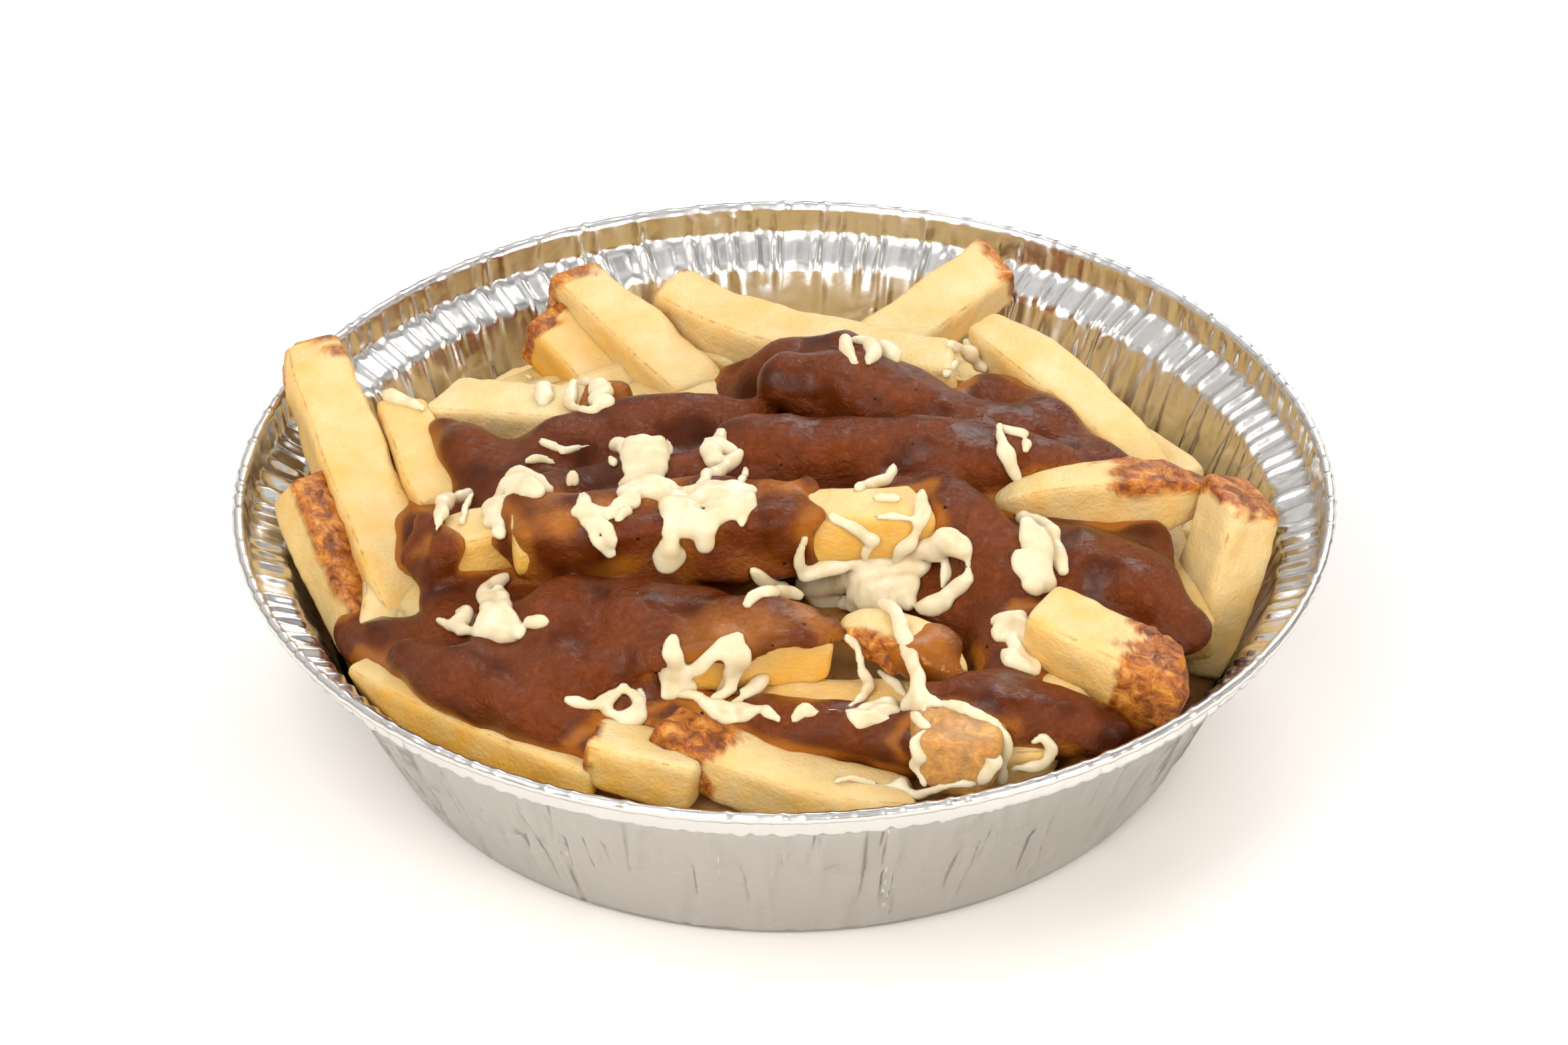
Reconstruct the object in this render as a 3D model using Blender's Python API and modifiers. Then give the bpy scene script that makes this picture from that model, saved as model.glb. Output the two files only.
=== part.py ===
"""Poutine in a round foil take-out pan: fries, brown gravy and melted cheese.

Metres, +Z up. The origin is the centre of the pan's flat base, on the surface it stands on.
The photograph's front is towards -Y, and +X is to its right.
"""
import math

import bmesh
import bpy
import numpy as np
from mathutils import Matrix, Vector

MM = 0.001
SEED = 7

# The pan, in millimetres
PAN_BASE_RADIUS = 68.0
PAN_CORNER = 1.6
PAN_SHOULDER_RADIUS = 82.6
PAN_SHOULDER_HEIGHT = 31.5
LEDGE_INNER_RADIUS = 84.2
LEDGE_INNER_HEIGHT = 33.2
LEDGE_OUTER_RADIUS = 89.0
LEDGE_OUTER_HEIGHT = 35.2
LIP_TOP_RADIUS = 90.0
LIP_TOP_HEIGHT = 39.6
BEAD_RADIUS = 0.8
FOIL = 0.5
RIM_CRIMPS = 36
CRIMP_DEPTH = 0.3
OUT_OF_ROUND = 0.5
ROUND_STEPS = 72

# Clear space between two pieces that touch
GAP = 0.3
WALL_GAP = 0.5

# The packed fries below the ones that show
CORE_CROWN = 42.0
CORE_FRONT_EDGE = 29.0
CORE_BACK_DROP = 13.0
CORE_FLOOR = 0.9
CORE_ROWS = 7
CORE_STEPS = 40
CORE_LUMP = 1.2

# Fries
FRY_PIECES_STRAIGHT = 2
FRY_PIECES_BENT = 3
FRY_EDGE = 1.5
FRY_UNEVEN = 0.25

# Fries with a bare face: points along the middle of the stick, width, thickness,
# the turn of its upper face in degrees, and how much both ends narrow
BARE_FRIES = {
    "leaning_over_rim": ([(-81, 36, 45), (-72, 5, 38), (-63, -24, 28)], 10.5, 9, -6, 0.1),
    "brown_wedge_left": ([(-81, 4, 40), (-70, -20, 25)], 9, 8, -25, 0.2),
    "back_left_small": ([(-42, 55, 38), (-28, 38, 32)], 10, 9, 0, 0.0),
    "back_left_big": ([(-37, 62, 42), (-14, 33, 37)], 11, 9, 0, 0.1),
    "back_centre": ([(-20, 59, 42), (-1, 43, 43), (29, 29, 46)], 11.5, 8, 0, 0.15),
    "back_up_right": ([(37, 74, 38), (16, 52, 34)], 11, 8, -12, 0.0),
    "right_back_long": ([(33, 44, 44), (48, 26, 42), (62, 11, 36)], 11, 10, 0, 0.45),
    "right_lens": ([(37, -9, 44), (54, -8, 46), (72, -4, 43)], 8, 9, 0, 0.75),
    "right_upright": ([(75, -9, 47), (66, -20, 19)], 10.5, 9, 24, 0.0),
    "right_front_skin": ([(42, -42, 44), (50, -48, 41), (62, -51, 35)], 11, 9, 0, 0.3),
    "left_yellow": ([(-58, 24, 41), (-30, 14, 43)], 11, 9, 0, 0.1),
    "left_stub": ([(-56, -21, 43), (-38, -18, 45)], 10, 10, 0, 0.1),
    "centre_long": ([(-45, -24, 48), (-12, -23, 49), (23, -20, 49)], 11, 10, 0, 0.1),
    "front_centre": ([(-22, -49, 41), (-8, -47, 42), (7, -45, 41)], 11, 10, 0, 0.3),
    "lens_with_skin": ([(9, -42, 42), (19, -45, 42), (29, -51, 39)], 9, 6, 0, 0.6),
    "low_pale_strip": ([(-8, -53, 32), (25, -52, 32)], 10, 8, 0, 0.2),
    "front_big_pale": ([(-20, -60, 34), (1, -67, 32), (20, -70, 29)], 11, 8, 0, 0.2),
    "front_left_stub": ([(-32, -63, 33), (-16, -67, 31)], 10, 8, 0, 0.1),
    "front_left_long": ([(-69, -34, 29), (-52, -49, 31), (-30, -63, 30)], 9, 8, 0, 0.3),
    "fried_chunk": ([(22, -68, 38), (33, -69, 36)], 9, 8, 0, 0.4),
    "under_centre_left": ([(-30, -30, 36), (-6, -50, 33)], 11, 9, 0, 0.1),
    "under_right": ([(52, 10, 33), (66, -28, 30)], 11, 9, 0, 0.1),
    "under_back": ([(-32, 50, 33), (-6, 46, 35), (22, 47, 34)], 11, 10, 0, 0.1),
    "under_front": ([(12, -62, 32), (42, -62, 31)], 11, 10, 0, 0.1),
    "under_front_right": ([(32, -48, 35), (58, -47, 33)], 11, 10, 0, 0.1),
    "back_low": ([(-4, 63, 25), (44, 50, 27)], 11, 10, 0, 0.1),
    "back_left_low": ([(-62, 36, 23), (-40, 54, 25)], 11, 10, 0, 0.1),
    "right_low": ([(50, 42, 26), (68, 18, 27)], 11, 10, 0, 0.1),
}

# Sticks wholly under gravy, which gives the gravy its ridges
GRAVY_RIDGES = [
    ([(-63, 13, 42), (-43, -9, 42)], 12, 11, 0, 0.2),
    ([(-24, -59, 35), (-2, -61, 36), (18, -66, 35)], 12, 11, 0, 0.2),
    ([(-61, -42, 37), (-47, -53, 37), (-31, -61, 34)], 12, 11, 0, 0.3),
    ([(25, -58, 39), (37, -59, 38), (51, -60, 34)], 13, 11, 0, 0.3),
    ([(18, -10, 47), (29, -20, 47), (39, -30, 43)], 14, 12, 0, 0.3),
    ([(42, -20, 41), (54, -25, 41), (64, -32, 37)], 14, 12, 0, 0.3),
    ([(1, 19, 51), (18, 15, 48), (40, 10, 44)], 13, 12, 0, 0.2),
    ([(-8, 1, 49), (18, -1, 49), (44, -4, 46)], 13, 12, 0, 0.2),
    ([(-46, 9, 43), (-27, 12, 45), (-8, 13, 44)], 13, 12, 0, 0.2),
    ([(-41, -10, 45), (-23, -8, 46), (-6, -5, 46)], 13, 12, 0, 0.2),
    ([(-45, -40, 43), (-26, -40, 44), (-7, -40, 42)], 14, 11, 0, 0.4),
    ([(-41, -51, 39), (-32, -48, 40), (-22, -46, 40)], 13, 12, 0, 0.2),
    ([(36, 27, 42), (48, 10, 42), (60, 2, 40)], 13, 9, 0, 0.3),
    ([(-14, 30, 44), (4, 26, 46), (24, 20, 46)], 13, 12, 0, 0.2),
]

# Gravy on the faces of bare fries: from and to, as shares of the fry's length
GRAVY_COATS = {
    "centre_long": (0.0, 0.72),
    "front_centre": (0.0, 0.9),
    "left_stub": (0.0, 0.25),
    "right_lens": (0.0, 0.3),
    "left_yellow": (0.6, 1.0),
    "back_centre": (0.7, 1.0),
    "lens_with_skin": (0.5, 1.0),
}
COAT_DEPTH = 1.4

# Gravy that fills between the ridges: centre, half sizes and turn about Z in degrees
GRAVY_PADS = [
    ((-8, 2, 39), (44, 24, 7), 0),
    ((-34, -26, 38), (26, 24, 6), 0),
    ((34, -14, 39), (32, 22, 6), -20),
    ((-52, 0, 36), (14, 20, 5), -30),
    ((-66, -28, 29), (11, 7, 5), -50),
    ((-50, -40, 33), (20, 10, 5), -35),
    ((-32, -50, 34), (16, 12, 5), 0),
    ((12, -52, 34), (30, 11, 4), 0),
    ((46, -38, 36), (22, 14, 5), -30),
    ((58, -50, 30), (16, 10, 5), 40),
    ((20, 24, 40), (36, 12, 5), -20),
]
GRAVY_GRAIN = 2.0
GRAVY_FACES = 850

# Melted cheese: each clump's strands, as points along the strand and its radius
CHEESE = {
    "cheese_back_loop": [
        ([(-40.5, 21, 47), (-39, 17.5, 49)], 1.6),
        ([(-39, 17.5, 49), (-36, 12.5, 50.5), (-32, 12, 51), (-30, 15, 51)], 1.3),
        ([(-36, 35.5, 39.5), (-35.5, 12.5, 50.5)], 1.2),
        ([(-32, 32, 41.5), (-30, 30, 42)], 2.2),
    ],
    "cheese_centre_ribs": [
        ([(-28, 3.5, 47.5), (-27.5, -19, 55)], 1.4),
        ([(-25, 4, 48), (-25, -19.5, 55)], 1.7),
        ([(-22.5, 4.5, 48), (-22, -18.5, 55)], 1.7),
        ([(-20, 4, 47.5), (-20.5, -13.5, 52)], 1.6),
        ([(-30, -6.5, 52), (-30.5, -20.5, 55)], 1.1),
    ],
    "cheese_centre_right": [
        ([(-13, 5, 47.5), (-12, -11.5, 51.5)], 1.6),
        ([(-10.5, 5, 47.5), (-9, -8.5, 51.5), (-11, -12, 51)], 1.8),
        ([(-6.5, -7, 51), (-7, -19, 56)], 1),
    ],
    "cheese_draped_net": [
        ([(-34, -24.5, 55), (-30.5, -28.5, 55), (-26.5, -26, 55.5), (-24.5, -22, 55.5)], 1.4),
        ([(-30, -28.5, 55), (-28, -31.5, 50)], 1.3),
        ([(-25, -22, 55.5), (-18.5, -21.5, 55.5), (-11.5, -23, 56), (-6.5, -24, 56)], 1.9),
        ([(-25.5, -25, 55.5), (-19.5, -27, 55.5), (-13, -27.5, 55.5), (-7.5, -27, 55.5)], 1.8),
        ([(-19, -27.5, 55.5), (-19, -30.5, 52), (-19, -31.5, 48.5)], 1.6),
        ([(-14.5, -27.5, 55), (-14, -30, 51)], 1.4),
        ([(-8.5, -26.5, 55.5), (-11.5, -30, 53)], 1.3),
    ],
    "cheese_left_web": [
        ([(-39.5, -13, 50.5), (-44.5, -6.5, 47.5), (-47, -17.5, 50), (-48.5, -23.5, 49.5)], 1.9),
        ([(-43.5, -10, 47), (-46.5, -19.5, 50)], 1.6),
        ([(-52.5, -7.5, 45), (-56, -5, 42), (-57, -20, 47.5)], 1.2),
        ([(-47, -10.5, 46.5), (-52.5, -7.5, 45)], 1.1),
    ],
    "cheese_lower_left_web": [
        ([(-49, -31, 43.5), (-47.5, -37, 43), (-45, -43.5, 44), (-42, -46.5, 45.5)], 1.5),
        ([(-47, -38.5, 43), (-50.5, -40.5, 42)], 1.4),
        ([(-52, -35.5, 42), (-56, -37.5, 40)], 1.2),
        ([(-44.5, -43, 46), (-40, -46.5, 47)], 1.6),
        ([(-50.5, -40.5, 42), (-53, -36.5, 41.5)], 1.2),
    ],
    "cheese_front_web": [
        ([(-19.5, -51, 47), (-18, -55, 43), (-14.5, -56, 43), (-10, -54.5, 46), (-8, -53, 48)], 1.2),
        ([(-18, -55, 43), (-19.5, -58, 41)], 1),
        ([(-7.5, -53, 47.5), (-8.5, -55, 43.5), (-11, -61, 42)], 1.2),
        ([(-4, -56, 42.5), (-8.5, -62, 42)], 1),
    ],
    "cheese_front_ridge": [
        ([(-16, -58, 41.5), (-11.5, -63.5, 41), (-6, -65, 41), (-1.5, -64, 41.5), (3.5, -64, 41.5), (10, -63, 41), (18, -57.5, 38)], 1.2),
        ([(12, -63.5, 41), (14, -68, 40.5)], 1.8),
        ([(16.5, -61.5, 39.5), (13, -65.5, 41)], 1.8),
    ],
    "cheese_middle_sheet": [
        ([(3, -30, 43), (8, -26, 42), (14.5, -24.5, 42), (21, -26, 44)], 2.6),
        ([(5.5, -34, 43), (13.5, -30.5, 41.5), (21, -30.5, 42)], 2.4),
        ([(22, -25, 45.5), (27, -28.5, 50), (29, -30.5, 49.5)], 2.8),
        ([(29.5, -30.5, 47), (28.5, -32, 43.5), (24.5, -33.5, 41.5)], 1.8),
        ([(22.5, -26.5, 44.5), (21.5, -32, 41.5)], 1.6),
        ([(-4.5, -29.5, 46), (-1.5, -30, 43), (3, -32, 43)], 1),
        ([(3, -28.5, 50.5), (3, -27.5, 44.5), (4, -29, 42.5)], 0.9),
    ],
    "cheese_long_shred": [
        ([(16, -32.5, 42), (19, -43, 46), (20.5, -50.5, 46), (21.5, -53, 42.5), (22, -55.5, 39.5)], 1.3),
        ([(20.5, -56, 38.5), (23.5, -58, 39.5)], 1.8),
        ([(23, -57.5, 39.5), (27.5, -63.5, 43), (32, -66, 41), (35, -66, 37.5), (35, -66, 34)], 1.2),
        ([(21, -57, 38), (23, -66.5, 41)], 1.1),
    ],
    "cheese_hanging_strand": [
        ([(10.5, -46.5, 43.5), (12.5, -46.5, 41.5), (12.5, -51.5, 40), (13, -55.5, 39), (11, -61.5, 41.5)], 1),
    ],
    "cheese_edge_strand": [
        ([(1.5, -76.5, 33), (6.5, -74, 33.5), (9, -73, 35), (15, -72, 34), (19, -73, 33), (24, -72, 33)], 0.9),
    ],
    "cheese_chunk_shred": [
        ([(21.5, -64, 36), (21.5, -67.5, 35), (23, -70.5, 34)], 1.2),
    ],
    "cheese_end_strand_low": [
        ([(7.5, -26, 54.5), (13.5, -27, 50)], 1),
    ],
    "cheese_end_strand_tall": [
        ([(14.5, -25.5, 53.5), (21, -25, 53)], 0.9),
        ([(23, -18, 53), (23, -24.5, 53), (20.5, -26, 49.5), (17.5, -23, 44)], 1.1),
    ],
    "cheese_end_strand_top": [
        ([(11.5, -8, 48), (16.5, -9.5, 50), (18, -9.5, 52.5)], 1.1),
    ],
    "cheese_right_strips": [
        ([(40, -16.5, 46), (40.5, -28.5, 48.5), (41, -32.5, 44)], 1.5),
        ([(43.5, -18.5, 46.5), (44, -24.5, 47), (45.5, -29.5, 45.5)], 1.1),
        ([(38.5, -21.5, 51), (43.5, -17.5, 46.5)], 0.9),
        ([(38, -30, 49), (39.5, -32, 45.5)], 1.2),
        ([(42.5, -26.5, 48.5), (42.5, -30.5, 44.5)], 1.4),
    ],
    "cheese_right_stack": [
        ([(34.5, -37.5, 41), (39.5, -37.5, 41.5), (39.5, -47, 43.5)], 1.5),
        ([(35, -41.5, 40.5), (37, -45, 39), (40, -49, 39)], 1.5),
        ([(37.5, -39.5, 41), (36.5, -43, 39.5)], 1.3),
    ],
    "cheese_back_blobs": [
        ([(10, 32.5, 50), (11.5, 17.5, 55.5)], 1.5),
        ([(14, 27.5, 52), (18, 18.5, 55)], 1.4),
        ([(11.5, 25.5, 52.5), (15, 25.5, 52)], 1.2),
    ],
    "cheese_right_curl": [
        ([(37, -66, 37.5), (39.5, -66, 37.5), (41, -65.5, 35), (39.5, -65.5, 33.5), (37, -67, 33.5)], 1),
    ],
    "cheese_left_grain": [
        ([(-68, 44.5, 31), (-65.5, 46, 29), (-62, 40.5, 31)], 1.4),
    ],
    "cheese_right_back": [
        ([(36, 6.5, 50), (37, -3, 53), (38, -8.5, 51)], 1.4),
        ([(34, 1, 53.5), (39.5, 7, 48.5)], 1),
    ],
    "cheese_grain_upper": [
        ([(-41, 4.5, 48), (-38, 3.5, 47)], 1.3),
    ],
    "cheese_grain_lower": [
        ([(-43, 2, 46), (-39, 2.5, 45.5)], 1.2),
    ],
    "cheese_low_web": [
        ([(-35, -59, 40.5), (-32, -58.5, 39.5), (-29, -57, 39)], 1.1),
        ([(-29, -57, 39), (-26, -54.5, 40), (-24, -58.5, 39.5), (-26.5, -60, 37.5)], 1),
    ],
}
CHEESE_GRAIN = 0.7
CHEESE_SMOOTH_STEPS = 4
CHEESE_FACES_PER_MM = 2.3


def quadratic(points, share):
    """Point and direction at a share of the way along: the parabola through the given points."""
    p = [Vector(point) for point in points]
    if len(p) == 2:
        return p[0].lerp(p[1], share), (p[1] - p[0]).normalized()
    s = share
    weights = ((1 - s) * (1 - 2 * s), 4 * s * (1 - s), s * (2 * s - 1))
    slopes = (4 * s - 3, 4 - 8 * s, 4 * s - 1)
    place = sum((w * q for w, q in zip(weights, p)), Vector())
    along = sum((w * q for w, q in zip(slopes, p)), Vector())
    return place, along.normalized()


def new_object(name, mesh, collection):
    """An object of this name for the mesh, in the collection."""
    made = bpy.data.objects.new(name, mesh)
    collection.objects.link(made)
    return made


def mesh_from(bm, name):
    """The bmesh as a mesh in metres, with its faces pointing out."""
    bmesh.ops.recalc_face_normals(bm, faces=bm.faces)
    bmesh.ops.scale(bm, verts=bm.verts, vec=(MM, MM, MM))
    mesh = bpy.data.meshes.new(name)
    bm.to_mesh(mesh)
    bm.free()
    return mesh


def stick_mesh(name, spec, number, grow=0.0, part=(0.0, 1.0)):
    """A cut potato stick: a bar with chamfered edges, laid along its curve.

    place(s, a, b) = P(s) + a * n(s) * side + b * n(s) * up, with n(s) = 1 - narrow * |2 s - 1| ** 2.5
    """
    points, width, thick, turn, narrow = spec
    length = sum((Vector(q) - Vector(p)).length for p, q in zip(points, points[1:]))
    wide = width + 2 * grow
    deep = thick + 2 * grow
    bm = bmesh.new()
    bmesh.ops.create_cube(bm, size=1.0)
    bmesh.ops.scale(bm, verts=bm.verts, vec=(length, wide, deep))
    long_edges = [e for e in bm.edges if abs(e.verts[0].co.x - e.verts[1].co.x) > length / 2]
    pieces = FRY_PIECES_STRAIGHT if len(points) == 2 else FRY_PIECES_BENT
    bmesh.ops.subdivide_edges(bm, edges=long_edges, cuts=pieces - 1)
    corners = [e for e in bm.edges if e.calc_face_angle(0.0) > math.radians(60)]
    bmesh.ops.bevel(bm, geom=corners, offset=FRY_EDGE + grow / 2, segments=1, affect="EDGES")
    uneven = np.random.default_rng(SEED + number)
    for vert in bm.verts:
        share = part[0] + (part[1] - part[0]) * (vert.co.x / length + 0.5)
        place, along = quadratic(points, share)
        up = (Vector((0, 0, 1)) - along * along.z).normalized()
        up = Matrix.Rotation(math.radians(turn), 3, along) @ up
        side = up.cross(along)
        slim = 1 - narrow * abs(2 * share - 1) ** 2.5
        nudge = Vector(uneven.uniform(-FRY_UNEVEN, FRY_UNEVEN, 3))
        end = (grow if share > 0.5 else -grow) if abs(vert.co.x) > length * 0.49 else 0.0
        vert.co = place + side * vert.co.y * slim + up * vert.co.z * slim + nudge + along * end
    bmesh.ops.triangulate(bm, faces=bm.faces, quad_method="FIXED")
    return mesh_from(bm, name)


def pan_profile():
    """The pan's outer side from the middle of its base to the rolled edge, as radius and height."""
    line = [(0.0, 0.0), (PAN_BASE_RADIUS - PAN_CORNER, 0.0), (PAN_BASE_RADIUS, 0.5)]
    line.append((PAN_BASE_RADIUS + 0.9, PAN_CORNER + 0.4))
    line.append((PAN_SHOULDER_RADIUS, PAN_SHOULDER_HEIGHT))
    line.append((LEDGE_INNER_RADIUS, LEDGE_INNER_HEIGHT))
    line.append((LEDGE_OUTER_RADIUS, LEDGE_OUTER_HEIGHT))
    line.append((LIP_TOP_RADIUS, LIP_TOP_HEIGHT))
    for degrees in (140, 55, -30):
        angle = math.radians(degrees)
        across = LIP_TOP_RADIUS + BEAD_RADIUS * (1 + math.cos(angle))
        line.append((across, LIP_TOP_HEIGHT + 0.3 + BEAD_RADIUS * math.sin(angle)))
    return line


def wall_radius(height):
    """Outer radius of the pan's slanting wall at a height."""
    low = PAN_BASE_RADIUS + 0.9
    rise = (height - PAN_CORNER - 0.4) / (PAN_SHOULDER_HEIGHT - PAN_CORNER - 0.4)
    return low + (PAN_SHOULDER_RADIUS - low) * rise


def turned(name, profile, steps, collection):
    """A profile of radius and height turned once about Z, as an object with real vertices."""
    mesh = bpy.data.meshes.new(name)
    points = [(r * MM, 0, z * MM) for r, z in profile]
    mesh.from_pydata(points, [(i, i + 1) for i in range(len(points) - 1)], [])
    made = new_object(name, mesh, collection)
    screw = made.modifiers.new("turn", "SCREW")
    screw.steps = steps
    screw.render_steps = steps
    screw.use_normal_flip = True
    screw.use_merge_vertices = True
    screw.merge_threshold = 0.00001
    apply_modifiers(made)
    return made


def crimp_rim(obj):
    """Press small crimps into the ledge and lip, and push the round rim slightly out of true."""
    for vert in obj.data.vertices:
        radius = math.hypot(vert.co.x, vert.co.y) / MM
        if radius < 1:
            continue
        angle = math.atan2(vert.co.y, vert.co.x)
        height = vert.co.z / MM
        lift = min(max((height - LEDGE_INNER_HEIGHT + 1) / 2, 0), 1)
        crimp = CRIMP_DEPTH * math.cos(RIM_CRIMPS * angle) * lift
        bulge = OUT_OF_ROUND * math.cos(2 * (angle - math.radians(215))) * (height / LIP_TOP_HEIGHT) ** 2
        vert.co.x *= (radius + crimp + bulge) / radius
        vert.co.y *= (radius + crimp + bulge) / radius


def pan(name, collection, grow=0.0):
    """The foil pan: the crimped turned surface with the foil's thickness inwards."""
    made = turned(name, pan_profile(), ROUND_STEPS, collection)
    crimp_rim(made)
    solid = made.modifiers.new("foil", "SOLIDIFY")
    solid.thickness = (FOIL + 2 * grow) * MM
    solid.offset = -1 + 2 * grow / (FOIL + 2 * grow)
    solid.use_even_offset = True
    apply_modifiers(made)
    triangulate(made)
    return made


def core_height(radius, angle):
    """Top of the packed fries: a low dome, lower at the back, with lumps the size of a fry.

    z = edge + (crown - edge) (1 - q ** 3) - drop * max(0, sin a) * q ** 4 + lumps, with q = r / R
    """
    q = radius / wall_radius(CORE_FRONT_EDGE)
    dome = CORE_FRONT_EDGE + (CORE_CROWN - CORE_FRONT_EDGE) * (1 - q ** 3)
    drop = CORE_BACK_DROP * max(0.0, math.sin(angle)) * q ** 4
    lumps = CORE_LUMP * math.sin(5 * angle + 0.11 * radius) * math.sin(0.24 * radius)
    return dome - drop + lumps


def core(name, collection, grow=0.0):
    """The mass of fries that the visible ones lie on, up to the pan's wall."""
    edge = wall_radius(CORE_FRONT_EDGE - CORE_BACK_DROP) - FOIL - WALL_GAP
    rows = [(edge * i / CORE_ROWS, CORE_CROWN) for i in range(CORE_ROWS + 1)]
    rows.append((wall_radius(CORE_FLOOR) - FOIL - WALL_GAP + grow, CORE_FLOOR))
    rows.append((0.0, CORE_FLOOR))
    made = turned(name, rows, CORE_STEPS, collection)
    for vert in made.data.vertices:
        if vert.co.z / MM < CORE_CROWN - 0.5:
            continue
        radius = math.hypot(vert.co.x, vert.co.y) / MM
        angle = math.atan2(vert.co.y, vert.co.x)
        height = core_height(radius, angle)
        vert.co.z = (height + grow) * MM
        if radius > edge - 1:
            reach = (wall_radius(height) - FOIL - WALL_GAP + grow) / radius
            vert.co.x *= reach
            vert.co.y *= reach
    triangulate(made)
    return made


def apply_modifiers(obj):
    """Replace the object's mesh by the one that its modifiers give."""
    seen = obj.evaluated_get(bpy.context.evaluated_depsgraph_get())
    mesh = bpy.data.meshes.new_from_object(seen)
    obj.modifiers.clear()
    obj.data = mesh


def triangulate(obj):
    """Split the object's faces into triangles, all facing out."""
    bm = bmesh.new()
    bm.from_mesh(obj.data)
    bmesh.ops.triangulate(bm, faces=bm.faces, quad_method="FIXED")
    bmesh.ops.recalc_face_normals(bm, faces=bm.faces)
    bm.to_mesh(obj.data)
    bm.free()


def combine(obj, operation, others):
    """Apply one Boolean of all the other objects to this one, and remove them.

    The manifold solver closes every edge here, where the exact one leaves some open.
    """
    group = bpy.data.collections.new("operands")
    bpy.context.scene.collection.children.link(group)
    for other in others:
        for home in list(other.users_collection):
            home.objects.unlink(other)
        group.objects.link(other)
    step = obj.modifiers.new("join", "BOOLEAN")
    step.operation = operation
    step.operand_type = "COLLECTION"
    step.collection = group
    step.solver = "MANIFOLD"
    apply_modifiers(obj)
    for other in others:
        bpy.data.objects.remove(other)
    bpy.data.collections.remove(group)


def keep_largest(obj):
    """Keep only the largest connected body of the mesh, in triangles that face out."""
    bm = bmesh.new()
    bm.from_mesh(obj.data)
    bmesh.ops.triangulate(bm, faces=bm.faces, quad_method="FIXED")
    bodies = []
    left = set(bm.faces)
    while left:
        body = {left.pop()}
        front = list(body)
        while front:
            face = front.pop()
            for edge in face.edges:
                for other in edge.link_faces:
                    if other in left:
                        left.discard(other)
                        body.add(other)
                        front.append(other)
        bodies.append(body)
    bodies.sort(key=lambda body: sum(face.calc_area() for face in body))
    loose = [face for body in bodies[:-1] for face in body]
    bmesh.ops.delete(bm, geom=loose, context="FACES")
    bmesh.ops.recalc_face_normals(bm, faces=bm.faces)
    bm.to_mesh(obj.data)
    bm.free()


def flow_together(name, meshes, grain, faces, collection):
    """One smooth body from overlapping ones, as a thick liquid runs together."""
    bm = bmesh.new()
    for mesh in meshes:
        bm.from_mesh(mesh)
        bpy.data.meshes.remove(mesh)
    joined = bpy.data.meshes.new(name)
    bm.to_mesh(joined)
    bm.free()
    made = new_object(name, joined, collection)
    fuse = made.modifiers.new("fuse", "REMESH")
    fuse.mode = "VOXEL"
    fuse.voxel_size = grain * MM
    soften = made.modifiers.new("soften", "SMOOTH")
    soften.factor = 0.5
    soften.iterations = 3
    apply_modifiers(made)
    triangulate(made)
    thin = made.modifiers.new("thin", "DECIMATE")
    thin.ratio = min(1.0, faces / len(made.data.polygons))
    apply_modifiers(made)
    keep_largest(made)
    return made


def grown_copy(obj, collection):
    """A copy of the object pushed out all round by the gap."""
    made = new_object(obj.name + "_grown", obj.data.copy(), collection)
    push = made.modifiers.new("push", "DISPLACE")
    push.strength = GAP * MM
    push.mid_level = 0.0
    apply_modifiers(made)
    return made


def ellipsoid_mesh(name, centre, half_sizes, turn):
    """An ellipsoid turned about Z."""
    bm = bmesh.new()
    bmesh.ops.create_icosphere(bm, subdivisions=3, radius=1.0)
    size = Matrix.Diagonal((*half_sizes, 1))
    place = Matrix.Translation(centre) @ Matrix.Rotation(math.radians(turn), 4, "Z") @ size
    bmesh.ops.transform(bm, matrix=place, verts=bm.verts)
    return mesh_from(bm, name)


def bare_cutters(collection):
    """The bare fries and the packed mass, each larger by the gap, to cut what lies against them."""
    cutters = [core("core_cutter", collection, GAP)]
    for number, (name, spec) in enumerate(BARE_FRIES.items()):
        cutters.append(new_object(name + "_cutter", stick_mesh(name, spec, number, GAP), collection))
    cutters.append(pan("pan_cutter", collection, GAP))
    return cutters


def fries_heap(collection, cutters):
    """The heap of fries: the packed mass with the bare fries joined to it, clear of the pan."""
    heap = core("fries_heap", collection)
    sticks = [new_object(name, stick_mesh(name, spec, number), cutters)
              for number, (name, spec) in enumerate(BARE_FRIES.items())]
    combine(heap, "UNION", sticks)
    combine(heap, "DIFFERENCE", [pan("pan_cutter", cutters, GAP)])
    keep_largest(heap)
    return heap


def gravy(collection, cutters):
    """The gravy: ridges over the coated sticks, coats on bare ones and the pads between.

    The second object is all that the cheese lies on, larger by the gap.
    """
    meshes = []
    for number, spec in enumerate(GRAVY_RIDGES):
        meshes.append(stick_mesh("ridge", spec, 100 + number))
    for name, part in GRAVY_COATS.items():
        meshes.append(stick_mesh("coat", BARE_FRIES[name], 0, COAT_DEPTH, part))
    for centre, half_sizes, turn in GRAVY_PADS:
        meshes.append(ellipsoid_mesh("pad", centre, half_sizes, turn))
    made = flow_together("gravy", meshes, GRAVY_GRAIN, GRAVY_FACES, collection)
    wall = grown_copy(made, cutters)
    combine(wall, "UNION", bare_cutters(cutters))
    combine(made, "DIFFERENCE", bare_cutters(cutters))
    keep_largest(made)
    return made, wall


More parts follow.
